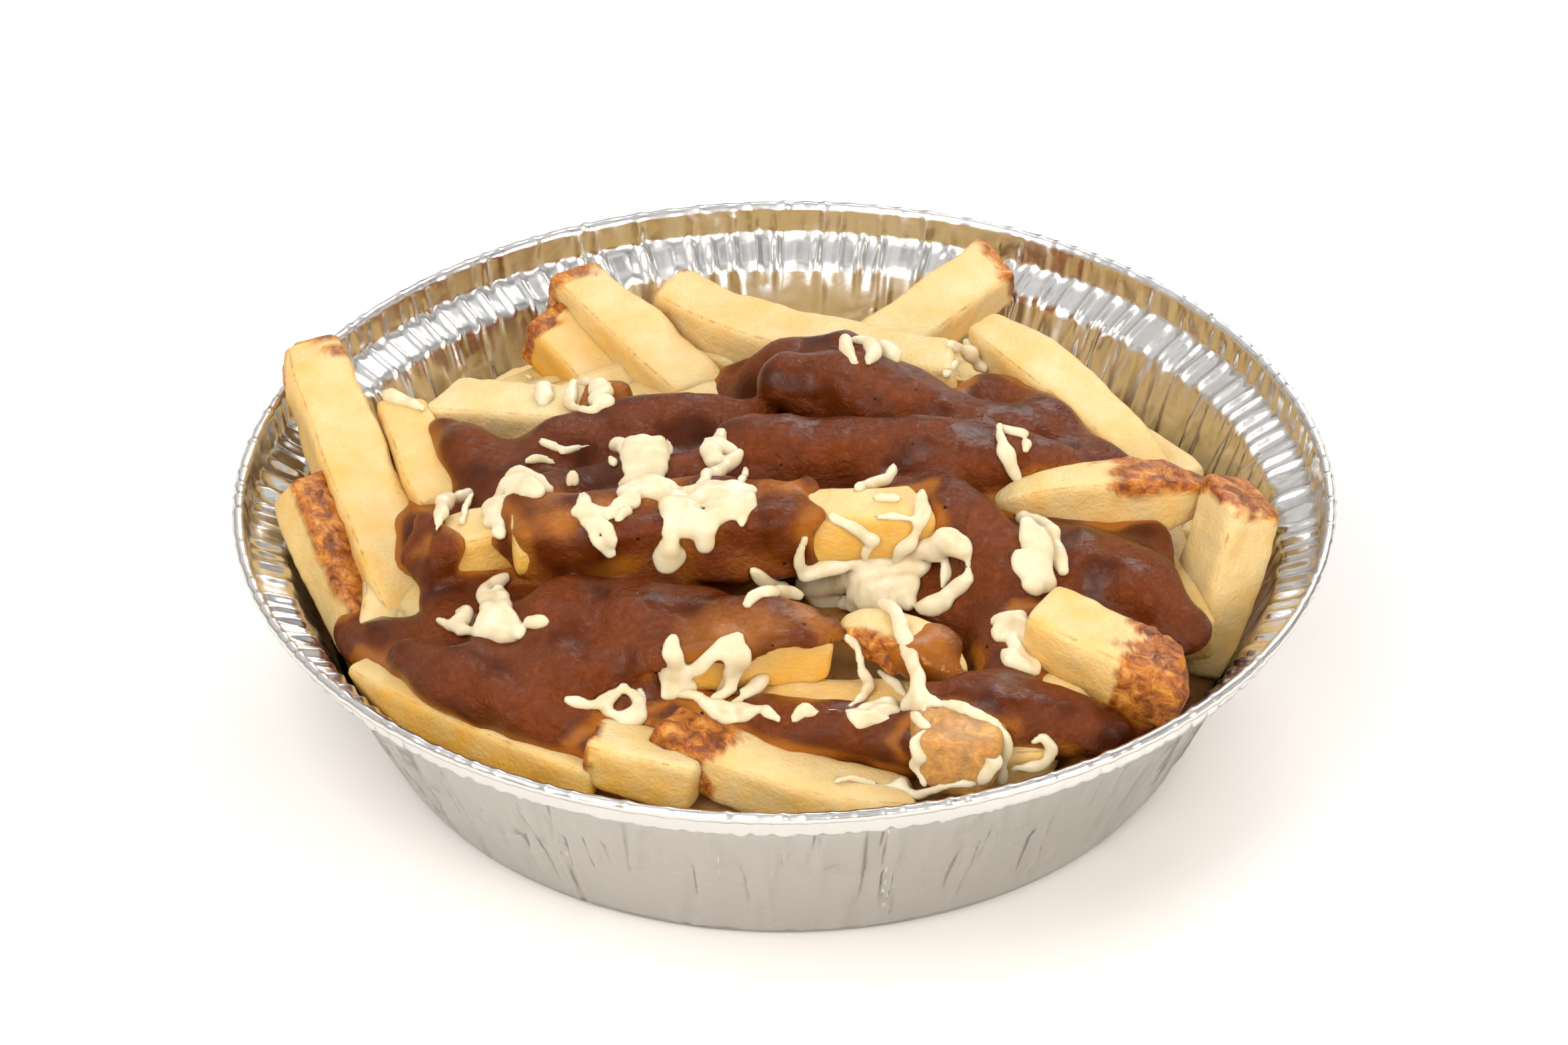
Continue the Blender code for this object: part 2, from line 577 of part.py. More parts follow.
def smooth_path(points, steps):
    """Points along a smooth curve through the given ones, as a Catmull-Rom spline."""
    p = [Vector(point) for point in points]
    p = [p[0] * 2 - p[1]] + p + [p[-1] * 2 - p[-2]]
    path = []
    for a, b, c, d in zip(p, p[1:], p[2:], p[3:]):
        for step in range(steps):
            t = step / steps
            path.append(b + (c - a) * t / 2 + (a * 2 - b * 5 + c * 4 - d) * t ** 2 / 2
                        + (b * 3 - a - c * 3 + d) * t ** 3 / 2)
    path.append(p[-2])
    return path


def strand_mesh(name, points, radius):
    """A round strand along a smooth path, thinner towards both ends, with closed ends."""
    path = smooth_path(points, CHEESE_SMOOTH_STEPS)
    curve = bpy.data.curves.new(name, "CURVE")
    curve.dimensions = "3D"
    curve.bevel_depth = radius * MM
    curve.bevel_resolution = 2
    curve.use_fill_caps = True
    line = curve.splines.new("POLY")
    line.points.add(len(path) - 1)
    for number, point in enumerate(path):
        line.points[number].co = (*(point * MM), 1)
        line.points[number].radius = 1 - 0.35 * abs(2 * number / (len(path) - 1) - 1) ** 3
    holder = new_object(name, curve, bpy.context.scene.collection)
    seen = holder.evaluated_get(bpy.context.evaluated_depsgraph_get())
    mesh = bpy.data.meshes.new_from_object(seen)
    bpy.data.objects.remove(holder)
    bm = bmesh.new()
    bm.from_mesh(mesh)
    bmesh.ops.remove_doubles(bm, verts=bm.verts, dist=0.00001)
    bmesh.ops.recalc_face_normals(bm, faces=bm.faces)
    bm.to_mesh(mesh)
    bm.free()
    return mesh


def near(one, other):
    """Whether the boxes round two objects come within a gap of each other."""
    for axis in range(3):
        a = [v.co[axis] for v in one.data.vertices]
        b = [v.co[axis] for v in other.data.vertices]
        if min(a) > max(b) + 2 * GAP * MM or min(b) > max(a) + 2 * GAP * MM:
            return False
    return True


def cheese(collection, cutters, wall):
    """The melted cheese: each clump of strands as one body, clear of all that it lies on."""
    made = []
    for name, strands in CHEESE.items():
        meshes = [strand_mesh(name, points, radius) for points, radius in strands]
        length = sum((Vector(q) - Vector(p)).length
                     for points, _ in strands for p, q in zip(points, points[1:]))
        clump = flow_together(name, meshes, CHEESE_GRAIN, length * CHEESE_FACES_PER_MM, collection)
        against = [new_object("wall", wall.data.copy(), cutters)]
        against += [grown_copy(other, cutters) for other in made if near(clump, other)]
        combine(clump, "DIFFERENCE", against)
        keep_largest(clump)
        made.append(clump)
    return made


def material(name, colour, roughness, metallic=0.0):
    """A Principled material."""
    made = bpy.data.materials.new(name)
    made.use_nodes = True
    shader = made.node_tree.nodes["Principled BSDF"]
    shader.inputs["Base Color"].default_value = (*colour, 1)
    shader.inputs["Roughness"].default_value = roughness
    shader.inputs["Metallic"].default_value = metallic
    made.diffuse_color = (*colour, 1)
    return made


def finish(obj, look):
    """Give the object its one material."""
    obj.data.materials.clear()
    obj.data.materials.append(look)


def main():
    for old in list(bpy.data.objects):
        bpy.data.objects.remove(old)
    poutine = bpy.data.collections.new("poutine")
    cutters = bpy.data.collections.new("cutters")
    bpy.context.scene.collection.children.link(poutine)
    bpy.context.scene.collection.children.link(cutters)
    foil_pan = pan("foil_pan", poutine)
    heap = fries_heap(poutine, cutters)
    sauce, wall = gravy(poutine, cutters)
    shreds = cheese(poutine, cutters, wall)
    bpy.data.objects.remove(wall)
    finish(foil_pan, material("foil", (0.8, 0.79, 0.77), 0.25, 1.0))
    finish(heap, material("potato", (0.86, 0.66, 0.3), 0.5))
    finish(sauce, material("gravy", (0.16, 0.06, 0.025), 0.15))
    melted = material("cheese", (0.95, 0.9, 0.72), 0.35)
    for shred in shreds:
        finish(shred, melted)
    for piece in poutine.objects:
        print(piece.name, len(piece.data.polygons), [round(v / MM, 1) for v in piece.dimensions])


main()
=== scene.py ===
# %% [markdown]
# # Poutine in a round foil pan
# Thick-cut fries are heaped in a take-out pan of thin aluminium, covered with brown gravy and with
# shreds of cheese that have half melted. Each of these is one step below. Everything is worked out
# in millimetres as whole numpy arrays, and turned to metres when it becomes a mesh.

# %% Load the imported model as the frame
import math

import bpy
import numpy as np
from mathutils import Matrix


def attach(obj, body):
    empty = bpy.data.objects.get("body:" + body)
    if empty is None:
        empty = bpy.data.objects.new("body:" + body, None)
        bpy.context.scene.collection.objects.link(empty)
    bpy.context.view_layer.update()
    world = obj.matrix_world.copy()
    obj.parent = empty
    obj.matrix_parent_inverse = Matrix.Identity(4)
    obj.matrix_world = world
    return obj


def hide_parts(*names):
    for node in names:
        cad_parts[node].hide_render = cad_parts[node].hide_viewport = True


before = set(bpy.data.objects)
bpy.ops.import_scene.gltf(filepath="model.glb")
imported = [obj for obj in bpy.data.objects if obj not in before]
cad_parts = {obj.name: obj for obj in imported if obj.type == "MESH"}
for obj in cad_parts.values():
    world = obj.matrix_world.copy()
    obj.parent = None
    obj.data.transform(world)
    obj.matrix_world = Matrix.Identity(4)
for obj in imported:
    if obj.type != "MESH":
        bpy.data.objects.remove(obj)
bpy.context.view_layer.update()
MM = 0.001
SEED = 7

# %% [markdown]
# ## Camera, light and floor
# The photograph looks down at about 34 degrees from well back, so a long lens gives its flat
# perspective. Foil shows what is round it, so the world is not one even white: it is bright above
# and greyer near the horizon, which gives the ledge its white and the outer wall part of its grey,
# the rest of that grey being shade painted into the foil's colour there. The world also has darker
# and brighter patches, as a studio has, which show in the creases.

# %% Camera at the photograph's angle
CAMERA_ELEVATION = math.radians(34.322)
CAMERA_DISTANCE = 1500.0
CAMERA_TARGET = np.array([-0.1, 0.0, 34.84])
CAMERA_LENS = 206.2
SENSOR = 36.0

scene = bpy.context.scene
view_back = np.array([0.0, -math.cos(CAMERA_ELEVATION), math.sin(CAMERA_ELEVATION)])
camera_data = bpy.data.cameras.new("camera")
camera_data.lens = CAMERA_LENS
camera_data.sensor_width = SENSOR
camera_data.clip_start = 0.01
camera = bpy.data.objects.new("camera", camera_data)
camera.location = (CAMERA_TARGET + view_back * CAMERA_DISTANCE) * MM
camera.rotation_euler = (math.pi / 2 - CAMERA_ELEVATION, 0, 0)
scene.collection.objects.link(camera)
scene.camera = camera
scene.view_settings.view_transform = "Standard"
print("camera at", [round(v, 3) for v in camera.location])

# %% Small helpers for materials


def linear(code):
    """An sRGB hex colour as linear red, green, blue and alpha."""
    srgb = [int(code[i:i + 2], 16) / 255 for i in (1, 3, 5)]
    return (*[c / 12.92 if c <= 0.04045 else ((c + 0.055) / 1.055) ** 2.4 for c in srgb], 1.0)


def add(tree, kind, settings=None, inputs=None):
    """One node: its settings by name, and each input a plain value or another node's output."""
    made = tree.nodes.new("ShaderNode" + kind)
    for name, value in (settings or {}).items():
        if name == "stops":
            for spare in list(made.color_ramp.elements)[1:]:
                made.color_ramp.elements.remove(spare)
            made.color_ramp.elements[0].position = value[0][0]
            made.color_ramp.elements[0].color = value[0][1]
            for place, colour in value[1:]:
                made.color_ramp.elements.new(place).color = colour
        else:
            setattr(made, name, value)
    for name, value in (inputs or {}).items():
        if isinstance(value, bpy.types.NodeSocket):
            tree.links.new(value, made.inputs[name])
        else:
            made.inputs[name].default_value = value
    return made


def new_material(name):
    """A material and its node tree, with no nodes in it yet."""
    made = bpy.data.materials.new(name)
    made.use_nodes = True
    made.node_tree.nodes.clear()
    return made, made.node_tree


# %% Soft studio light and a pale floor
FLOOR_SIZE = 4.0
WORLD_STRENGTH = 0.85

world = bpy.data.worlds.new("studio")
world.use_nodes = True
tree = world.node_tree
tree.nodes.clear()
direction = add(tree, "TexCoord")
height = add(tree, "SeparateXYZ", None, {0: direction.outputs["Generated"]})
share = add(tree, "MapRange", None, {0: height.outputs[2], 1: -0.1, 2: 0.75, 3: 0.0, 4: 1.0})
sky = add(tree, "ValToRGB", {"stops": [(0.0, linear("#A79C92")), (0.35, linear("#D8D0C8")),
                                      (1.0, linear("#FFFFFF"))]}, {0: share.outputs[0]})
patches = add(tree, "TexNoise", None, {"Vector": direction.outputs["Generated"], "Scale": 2.2,
                                       "Detail": 1.0})
level = add(tree, "MapRange", None, {0: patches.outputs[0], 1: 0.35, 2: 0.65,
                                     3: 0.4 * WORLD_STRENGTH, 4: 1.3 * WORLD_STRENGTH})
glow = add(tree, "Background", None, {0: sky.outputs[0], 1: level.outputs[0]})
add(tree, "OutputWorld", None, {0: glow.outputs[0]})
scene.world = world

LIGHTS = {
    "key": ((-0.5, -0.5, 1.0), 0.7, 7.0, "#FFFCF7"),
    "back": ((0.35, 0.9, 0.75), 0.7, 6.0, "#FFFFFF"),
    "fill": ((0.8, -0.75, 0.5), 0.7, 6.5, "#FFF8EE"),
    "front": ((-0.3, -1.0, 0.45), 0.8, 4.0, "#FFFAF2"),
}
for name, (place, size, power, colour) in LIGHTS.items():
    lamp_data = bpy.data.lights.new(name, "AREA")
    lamp_data.shape = "DISK"
    lamp_data.size = size
    lamp_data.energy = power
    lamp_data.color = linear(colour)[:3]
    lamp = bpy.data.objects.new(name, lamp_data)
    lamp.location = place
    away = np.array(place) - CAMERA_TARGET * MM
    lamp.rotation_euler = (math.acos(away[2] / np.linalg.norm(away)), 0,
                           math.atan2(away[1], away[0]) + math.pi / 2)
    scene.collection.objects.link(lamp)

paint, tree = new_material("matt_paper_floor")
grain = add(tree, "TexNoise", None, {"Scale": 900.0, "Detail": 2.0})
rough = add(tree, "MapRange", None, {0: grain.outputs[0], 3: 0.75, 4: 0.9})
shader = add(tree, "BsdfPrincipled", None, {"Base Color": linear("#F6F3F0"),
                                            "Roughness": rough.outputs[0]})
add(tree, "OutputMaterial", None, {0: shader.outputs[0]})

half = FLOOR_SIZE / 2
floor_mesh = bpy.data.meshes.new("floor")
floor_mesh.from_pydata([(-half, -half, -0.0001), (half, -half, -0.0001), (half, half, -0.0001),
                        (-half, half, -0.0001)], [], [(0, 1, 2, 3)])
floor_mesh.materials.append(paint)
floor = bpy.data.objects.new("floor", floor_mesh)
scene.collection.objects.link(floor)
print("lights:", ", ".join(LIGHTS))

# %% [markdown]
# ## From arrays to pieces
# Every piece is a grid of points, or a surface found in a field of distances. One function makes the
# object, gives it its material and says which solid it stands for.

# %% Mesh helpers


def waves(points, size, seed, count=12):
    """Smooth noise of about -1 to 1: sine waves about this long, in random directions, added up."""
    draw = np.random.default_rng(seed)
    way = draw.normal(size=(3, count))
    way /= np.linalg.norm(way, axis=0)
    way *= 2 * np.pi / (size * draw.uniform(0.7, 1.5, count))
    return np.sin(points @ way + draw.uniform(0, 2 * np.pi, count)).sum(-1) * (2 / count) ** 0.5


def smooth_step(low, high, value):
    """0 below low, 1 above high, and 3 t^2 - 2 t^3 between them."""
    t = np.clip((value - low) / (high - low), 0, 1)
    return t * t * (3 - 2 * t)


def volume_of(points, faces):
    """Signed volume inside the faces, as a fan of triangles from each face's first corner."""
    total = 0.0
    for k in range(1, faces.shape[1] - 1):
        a, b, c = (points[faces[:, i]] for i in (0, k, k + 1))
        total += (a * np.cross(b, c)).sum() / 6
    return total


def new_piece(name, points, face_lists, look, nodes, values=None):
    """An object at the origin from points in mm and arrays of faces, turned to face outwards."""
    if sum(volume_of(points, faces) for faces in face_lists) < 0:
        face_lists = [faces[:, ::-1] for faces in face_lists]
    mesh = bpy.data.meshes.new(name)
    mesh.from_pydata((points * MM).tolist(), [], [face for faces in face_lists for face in faces.tolist()])
    mesh.polygons.foreach_set("use_smooth", np.ones(len(mesh.polygons), bool))
    for key, value in (values or {}).items():
        mesh.attributes.new(key, "FLOAT", "POINT").data.foreach_set("value", np.float32(value).ravel())
    mesh.materials.append(look)
    made = bpy.data.objects.new(name, mesh)
    scene.collection.objects.link(made)
    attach(made, "root")
    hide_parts(*nodes)
    triangles = sum(len(faces) * (faces.shape[1] - 2) for faces in face_lists)
    print(f"{name}: {triangles} triangles")
    return made


def tube_faces(rows, around):
    """Quads of a grid that closes round its columns, and fans to a pole beyond each end row."""
    index = np.arange(rows * around).reshape(rows, around)
    turned = np.roll(index, -1, axis=1)
    quads = np.stack([index[:-1], turned[:-1], turned[1:], index[1:]], -1).reshape(-1, 4)
    first, last = rows * around, rows * around + 1
    start = np.stack([turned[0], index[0], np.full(around, first)], -1)
    end = np.stack([index[-1], turned[-1], np.full(around, last)], -1)
    return quads, np.concatenate([start, end])


def closed_tubes(grids):
    """Points and faces of several closed tubes, from an array of tubes, rows, columns and xyz."""
    tubes, rows, around, _ = grids.shape
    poles = np.stack([grids[:, 0].mean(1), grids[:, -1].mean(1)], 1)
    points = np.concatenate([grids.reshape(tubes, -1, 3), poles], 1)
    step = np.arange(tubes)[:, None, None] * points.shape[1]
    quads, fans = tube_faces(rows, around)
    return points.reshape(-1, 3), [(quads + step).reshape(-1, 4), (fans + step).reshape(-1, 3)]


# %% [markdown]
# ## The foil pan
# A take-out pan is pressed from one disc of foil about a tenth of a millimetre thick. The disc has
# too much edge for the shape, so the spare metal gathers in pleats: close and sharp on the ledge and
# lip, few and long on the wall, and small along the rolled bead. A turned profile gives the form, and
# the pleats are added to it as lengths along its normal, so both faces of the foil share them.

# %% The pan's profile, in the solid's own sizes
PAN_BASE_RADIUS = 68.0
PAN_CORNER = 1.6
PAN_SHOULDER = (82.6, 31.5)
LEDGE_INNER = (84.2, 33.2)
LEDGE_OUTER = (89.0, 35.2)
LIP_TOP = (90.0, 39.6)
BEAD_RADIUS = 0.8
FOIL = 0.2
ROUND_STEPS = 1900


def pan_profile():
    """Radius and height from the middle of the base to the end of the curl, by stretches."""
    stretches = [((2.0, 0.0), (PAN_BASE_RADIUS - PAN_CORNER, 0.0), 2)]
    foot = (PAN_BASE_RADIUS + 0.9, PAN_CORNER + 0.4)
    stretches.append(((PAN_BASE_RADIUS - 0.3, 0.25), foot, 2))
    wall_start = (PAN_BASE_RADIUS + 2.2, PAN_CORNER + 3.2)
    stretches.append((wall_start, PAN_SHOULDER, 8))
    stretches.append(((83.1, 32.5), LEDGE_INNER, 2))
    stretches.append(((85.8, 33.8), LEDGE_OUTER, 3))
    stretches.append(((89.3, 36.2), LIP_TOP, 3))
    line = [np.linspace(start, end, rows) for start, end, rows in stretches]
    angle = np.radians(np.linspace(130, -150, 6))
    bead = np.stack([np.cos(angle), np.sin(angle)], -1) * BEAD_RADIUS
    line.append(bead + (LIP_TOP[0] + BEAD_RADIUS, LIP_TOP[1] + 0.3))
    return np.concatenate(line)


profile = pan_profile()
print("profile rows:", len(profile))

# %% Pleats and creases pressed into the foil
LEDGE_PLEATS = 140
BEAD_PLEATS = 130
WALL_PLEATS = 74
WALL_CREASES = 240
# Depth in mm of the pleats in each band, and the most that all folds come to
LEDGE_DEPTH, LIP_DEPTH, BEAD_DEPTH, WALL_DEPTH = 0.33, 0.15, 0.07, 0.10
DEEPEST_FOLD = 0.55


def pleats(angle, count, seed, wander=5.0):
    """A wave of about this many pleats whose spacing and depth wander round the rim."""
    draw = np.random.default_rng(seed)
    order = np.arange(3, 40)
    size = draw.normal(size=len(order)) / order
    shift = (size * np.sin(angle[:, None] * order + draw.uniform(0, 6.28, len(order)))).sum(1)
    order = np.arange(20, 90)
    size = draw.normal(size=len(order)) / len(order) ** 0.5
    depth = 1 + 0.8 * (size * np.sin(angle[:, None] * order + draw.uniform(0, 6.28, len(order)))).sum(1)
    wave = 1 - 2 * np.abs(np.sin((count * angle + wander * shift) / 2)) ** 5
    return wave * np.clip(depth, 0.15, 2.4)


def creases(angle, height, seed):
    """Sharp folds in the wall: each a line that leans, and fades out downwards from its top."""
    draw = np.random.default_rng(seed)
    total = np.zeros((len(height), len(angle)))
    for _ in range(WALL_CREASES):
        place, lean = draw.uniform(0, 2 * np.pi), draw.normal(0, 0.0025)
        top, run = draw.uniform(16, 34), draw.uniform(8, 32) * draw.uniform(0.5, 1)
        wide, deep = draw.uniform(0.5, 1.9), draw.normal(0, 0.8)
        middle = place + lean * (height - 30) + 0.004 * np.sin(height / 3 + place * 9)
        off = (angle[None, :] - middle[:, None] + np.pi) % (2 * np.pi) - np.pi
        off = off * 78 / wide
        fade = smooth_step(top - run, top - run * 0.5, height) * (1 - smooth_step(top, top + 2, height))
        total += deep * fade[:, None] * (1 - off ** 2) * np.exp(-off ** 2 / 2)
    return total


turn = np.arange(ROUND_STEPS) / ROUND_STEPS * 2 * np.pi
radius, height = profile[:, 0], profile[:, 1]
on_wall = smooth_step(1.0, 5.0, height) * (1 - smooth_step(31.0, 33.0, height))
on_ledge = smooth_step(30.5, 33.4, height) * (1 - smooth_step(34.4, 35.6, height))
on_lip = smooth_step(34.5, 36.0, height) * (1 - smooth_step(38.6, 39.8, height))
on_bead = smooth_step(39.0, 39.9, height)
on_wall_top = on_wall * smooth_step(4, 30, height)
fold = LEDGE_DEPTH * on_ledge[:, None] * pleats(turn, LEDGE_PLEATS, 1)
fold += LIP_DEPTH * on_lip[:, None] * pleats(turn, LEDGE_PLEATS, 2, 8.0)
fold += BEAD_DEPTH * on_bead[:, None] * pleats(turn, BEAD_PLEATS, 3, 6.0)
fold += WALL_DEPTH * on_wall_top[:, None] * pleats(turn, WALL_PLEATS, 4, 9.0)
fold += creases(turn, height, 5)

# %% Both faces of the foil, joined at the curl
OUT_OF_ROUND = 0.5

slope = np.gradient(profile, axis=0)
normal = np.stack([slope[:, 1], -slope[:, 0]], -1) / np.linalg.norm(slope, axis=1)[:, None]
fold = np.clip(fold, -DEEPEST_FOLD, DEEPEST_FOLD)
fold *= np.minimum(1, height / 3)[:, None]
bulge = OUT_OF_ROUND * np.cos(2 * (turn - math.radians(215)))[None, :] * ((height / 39.6) ** 2)[:, None]


def pan_face(offset):
    """One face of the foil: the profile moved along its normal by the folds and this offset."""
    across = radius[:, None] + normal[:, :1] * (fold + offset) + bulge
    up = np.maximum(height[:, None] + normal[:, 1:] * (fold + offset), 0.0)
    return np.stack([across * np.cos(turn), across * np.sin(turn), up], -1)


outer = pan_face(0.0)
inner = pan_face(-FOIL)
inner[:, :, 2] = np.maximum(inner[:, :, 2], FOIL)
shell = np.concatenate([outer, inner[::-1]])
print("pan shell:", shell.shape)

# %% [markdown]
# ### Aluminium foil
# Rolled aluminium is bright on one face and satin on the other. It has almost no colour of its own,
# and its white and gold come from what it reflects; on the outer wall a greyer colour is painted on
# as shade, on top of the grey it reflects there. Its fine grain blurs the reflection by an uneven
# roughness, and dents that are too shallow to model are in the bump.

# %% Foil material


def foil_material():
    """Bare rolled aluminium: bright inside, satin outside with painted shade as a greyer colour on the outer
    wall, dents of 3 and 11 mm.
    """
    made, tree = new_material("rolled_aluminium_foil")
    satin = add(tree, "Attribute", {"attribute_name": "satin"})
    # Mix to a greyer colour on the outer wall: painted shade
    base = add(tree, "Mix", {"data_type": "RGBA"},
               {0: satin.outputs["Fac"], 6: linear("#DEDCD9"), 7: linear("#B9B5B0")})
    place = add(tree, "TexCoord")
    dents = add(tree, "TexNoise", None, {"Vector": place.outputs["Object"], "Scale": 320.0,
                                         "Detail": 3.0, "Roughness": 0.6})
    broad = add(tree, "TexNoise", None, {"Vector": place.outputs["Object"], "Scale": 90.0,
                                         "Detail": 2.0, "Distortion": 0.6})
    blur = add(tree, "MapRange", None, {0: broad.outputs[0], 1: 0.3, 2: 0.7, 3: 0.18, 4: 0.32})
    # The same mark adds roughness there, for the real satin face
    rough = add(tree, "Math", {"operation": "MULTIPLY_ADD"},
                {0: satin.outputs["Fac"], 1: 0.05, 2: blur.outputs[0]})
    shallow = add(tree, "Bump", None, {"Strength": 0.8, "Distance": 0.0009,
                                       "Height": broad.outputs[0]})
    relief = add(tree, "Bump", None, {"Strength": 0.3, "Distance": 0.0002,
                                      "Height": dents.outputs[0], "Normal": shallow.outputs[0]})
    shader = add(tree, "BsdfPrincipled", None, {"Base Color": base.outputs[2], "Metallic": 1.0,
                                                "Roughness": rough.outputs[0],
                                                "Normal": relief.outputs[0]})
    add(tree, "OutputMaterial", None, {0: shader.outputs[0]})
    return made


foil = foil_material()
points, faces = closed_tubes(shell[None])
# Mark for the outer wall: painted shade as a greyer colour, and the satin face's roughness
satin = np.zeros(shell.shape[:2])
satin[:len(outer)] = (1 - smooth_step(31.0, 33.5, height))[:, None]
satin = np.append(satin.ravel(), [1.0, 0.0])
new_piece("pressed_foil_pan", points, faces, foil, ["foil_pan"], {"satin": satin})

# %% [markdown]
# ## The fries
# Each fry is a bar cut from a potato: a rounded square section carried along a slightly bent line,
# with its ends cut across at a slant. The sections come from a square's edge pulled on to a
# superellipse, which puts the points close together at the corners, where the form turns.

# %% The fries that show: line, width, thickness, turn of the upper face, narrowing of the ends
# Places in mm, worked out by another script from picks in the photograph, then partly moved by hand
BARE_FRIES = {
    "leaning_over_rim": ([(-81, 36, 45), (-71, 5, 38), (-61, -24, 28)], 11.8, 9, -6, 0.1),
    "brown_wedge_left": ([(-81, 4, 40), (-69, -21, 26)], 11, 9, -25, 0.2),
    "back_left_small": ([(-42, 55, 38), (-28, 38, 32)], 10, 9, 0, 0.0),
    "back_left_big": ([(-37, 62, 42), (-14, 33, 37)], 11, 9, 0, 0.1),
    "back_centre": ([(-20, 59, 42), (-1, 43, 43), (29, 29, 46)], 11.5, 8, 0, 0.15),
    "back_up_right": ([(37, 74, 38), (16, 52, 34)], 11, 8, -12, 0.0),
    "right_back_long": ([(33, 44, 44), (48, 26, 42), (62, 11, 36)], 11, 10, 0, 0.45),
    "right_lens": ([(35, -9, 44), (54, -8, 45), (72, -4, 43)], 8.5, 12, 0, 0.75),
    "right_upright": ([(76, -9, 47), (67, -21, 19)], 12, 10, 24, 0.0),
    "right_front_skin": ([(41, -42, 44.5), (50, -47, 42), (64, -51.5, 37)], 13, 11, 0, 0.15),
    "left_yellow": ([(-58, 24, 41), (-29, 16, 44)], 11, 9, 0, 0.1),
    "left_stub": ([(-57, -21, 43), (-38, -18, 45)], 10.5, 11, 0, 0.1),
    "centre_long": ([(-45, -24, 48), (-12, -23, 49), (23, -20, 49)], 11, 10, 0, 0.1),
    "front_centre": ([(-22, -49, 41), (-8, -47, 42), (7, -45, 41)], 11, 10, 0, 0.3),
    "lens_with_skin": ([(9, -42, 42), (19, -45, 42), (29, -51, 39)], 9, 6, 0, 0.6),
    "low_pale_strip": ([(-8, -53, 34), (26, -52, 33.5)], 10, 8, 0, 0.2),
    "front_big_pale": ([(-20, -60, 35.5), (1, -67, 28.5), (21, -69, 26.5)], 11, 10, 0, 0.2),
    "front_left_stub": ([(-32, -62, 33), (-13, -66, 30)], 10.5, 9.5, 0, 0.1),
    "front_left_long": ([(-69, -35, 29), (-53, -50, 30), (-30, -64, 29)], 11, 9, 0, 0.3),
    "fried_chunk": ([(20.5, -67, 37.5), (35, -68, 36)], 11, 10, 0, 0.2),
    "under_centre_left": ([(-30, -30, 36), (-6, -50, 33)], 11, 9, 0, 0.1),
    "under_right": ([(52, 10, 33), (66, -28, 30)], 11, 9, 0, 0.1),
    "under_back": ([(-32, 50, 33), (-6, 46, 35), (22, 47, 34)], 11, 10, 0, 0.1),
    "under_front": ([(24, -62, 31), (44, -61, 31)], 10, 9, 0, 0.1),
    "under_front_right": ([(32, -48, 35), (58, -47, 33)], 11, 10, 0, 0.1),
    "back_low": ([(-4, 63, 25), (44, 50, 27)], 11, 10, 0, 0.1),
    "back_left_low": ([(-62, 36, 23), (-40, 54, 25)], 11, 10, 0, 0.1),
    "right_low": ([(50, 42, 26), (68, 18, 27)], 11, 10, 0, 0.1),
    "left_inner": ([(-65, 23, 41), (-57, -3, 38)], 9.5, 9, 0, 0.2),
}

# Potato skin on a fry: from and to as shares of its length, and which face it is on
SKIN = {
    "leaning_over_rim": (-0.1, 0.03, "all"),
    "brown_wedge_left": (-0.2, 0.86, "top"),
    "back_left_small": (-0.1, 0.18, "all"),
    "back_left_big": (-0.1, 0.08, "all"),
    "back_centre": (-0.1, 0.02, "all"),
    "back_up_right": (-0.1, 0.06, "all"),
    "right_lens": (0.48, 1.1, "top"),
    "right_upright": (-0.1, 0.07, "all"),
    "right_front_skin": (0.68, 1.1, "all"),
    "lens_with_skin": (-0.1, 1.1, "front"),
    "front_big_pale": (-0.1, 0.25, "all"),
    "front_left_stub": (-0.1, 0.07, "all"),
    "fried_chunk": (-0.1, 1.1, "thin"),
}
# Fries with the full painted shade on their sides, a deeper golden; the rest get a quarter of it
SHADED_GOLDEN_SIDES = ("left_stub", "centre_long", "front_centre", "front_left_long", "back_left_small",
                "front_left_stub", "under_front")
print("fries that show:", len(BARE_FRIES))

# %% A line, its frame and a fry's surface


def line_at(ends, share):
    """Point and unit direction on the parabola through two or three points, at shares of its way."""
    p = np.array(ends, float)
    if len(p) == 2:
        p = np.array([p[0], (p[0] + p[1]) / 2, p[1]])
    s = np.asarray(share, float)[..., None]
    place = (1 - s) * (1 - 2 * s) * p[0] + 4 * s * (1 - s) * p[1] + s * (2 * s - 1) * p[2]
    along = (4 * s - 3) * p[0] + (4 - 8 * s) * p[1] + (4 * s - 1) * p[2]
    return place, along / np.linalg.norm(along, axis=-1, keepdims=True)


def frame_at(ends, share, turn_degrees):
    """Point, direction, side and upper direction, turned about the line by this angle."""
    place, along = line_at(ends, share)
    up = np.array([0.0, 0.0, 1.0]) - along * along[..., 2:]
    up /= np.linalg.norm(up, axis=-1, keepdims=True)
    side = np.cross(up, along)
    c, s = math.cos(math.radians(turn_degrees)), math.sin(math.radians(turn_degrees))
    return place, along, side * c + up * s, up * c - side * s


def length_of(ends):
    """Length of the line, near enough by its chords."""
    return np.linalg.norm(np.diff(np.array(ends, float), axis=0), axis=1).sum()


def section(around, power):
    """Points round a square's edge, pulled on to |a|^power + |b|^power = 1."""
    t = np.arange(around) / around * 4
    f = 2 * (t % 1) - 1
    k = t.astype(int)
    a = np.choose(k, [np.ones(around), -f, -np.ones(around), f])
    b = np.choose(k, [f, np.ones(around), -f, -np.ones(around)])
    size = (np.abs(a) ** power + np.abs(b) ** power) ** (1 / power)
    return a / size, b / size


# A cut end: how far its rounding reaches in mm, where the even rows start, and the usual slant
END_ROUND, END_ROWS_START, END_SLANT = 2.2, 2.6, 0.22
# Length in mm over which a slant at the end fades
SLANT_REACH = 9
# Depth in mm of the uneven faces, large and small, and of skin, fine and coarse
FACE_WAVES, FACE_RIPPLES, SKIN_FINE, SKIN_COARSE = 0.22, 0.07, 0.16, 0.1


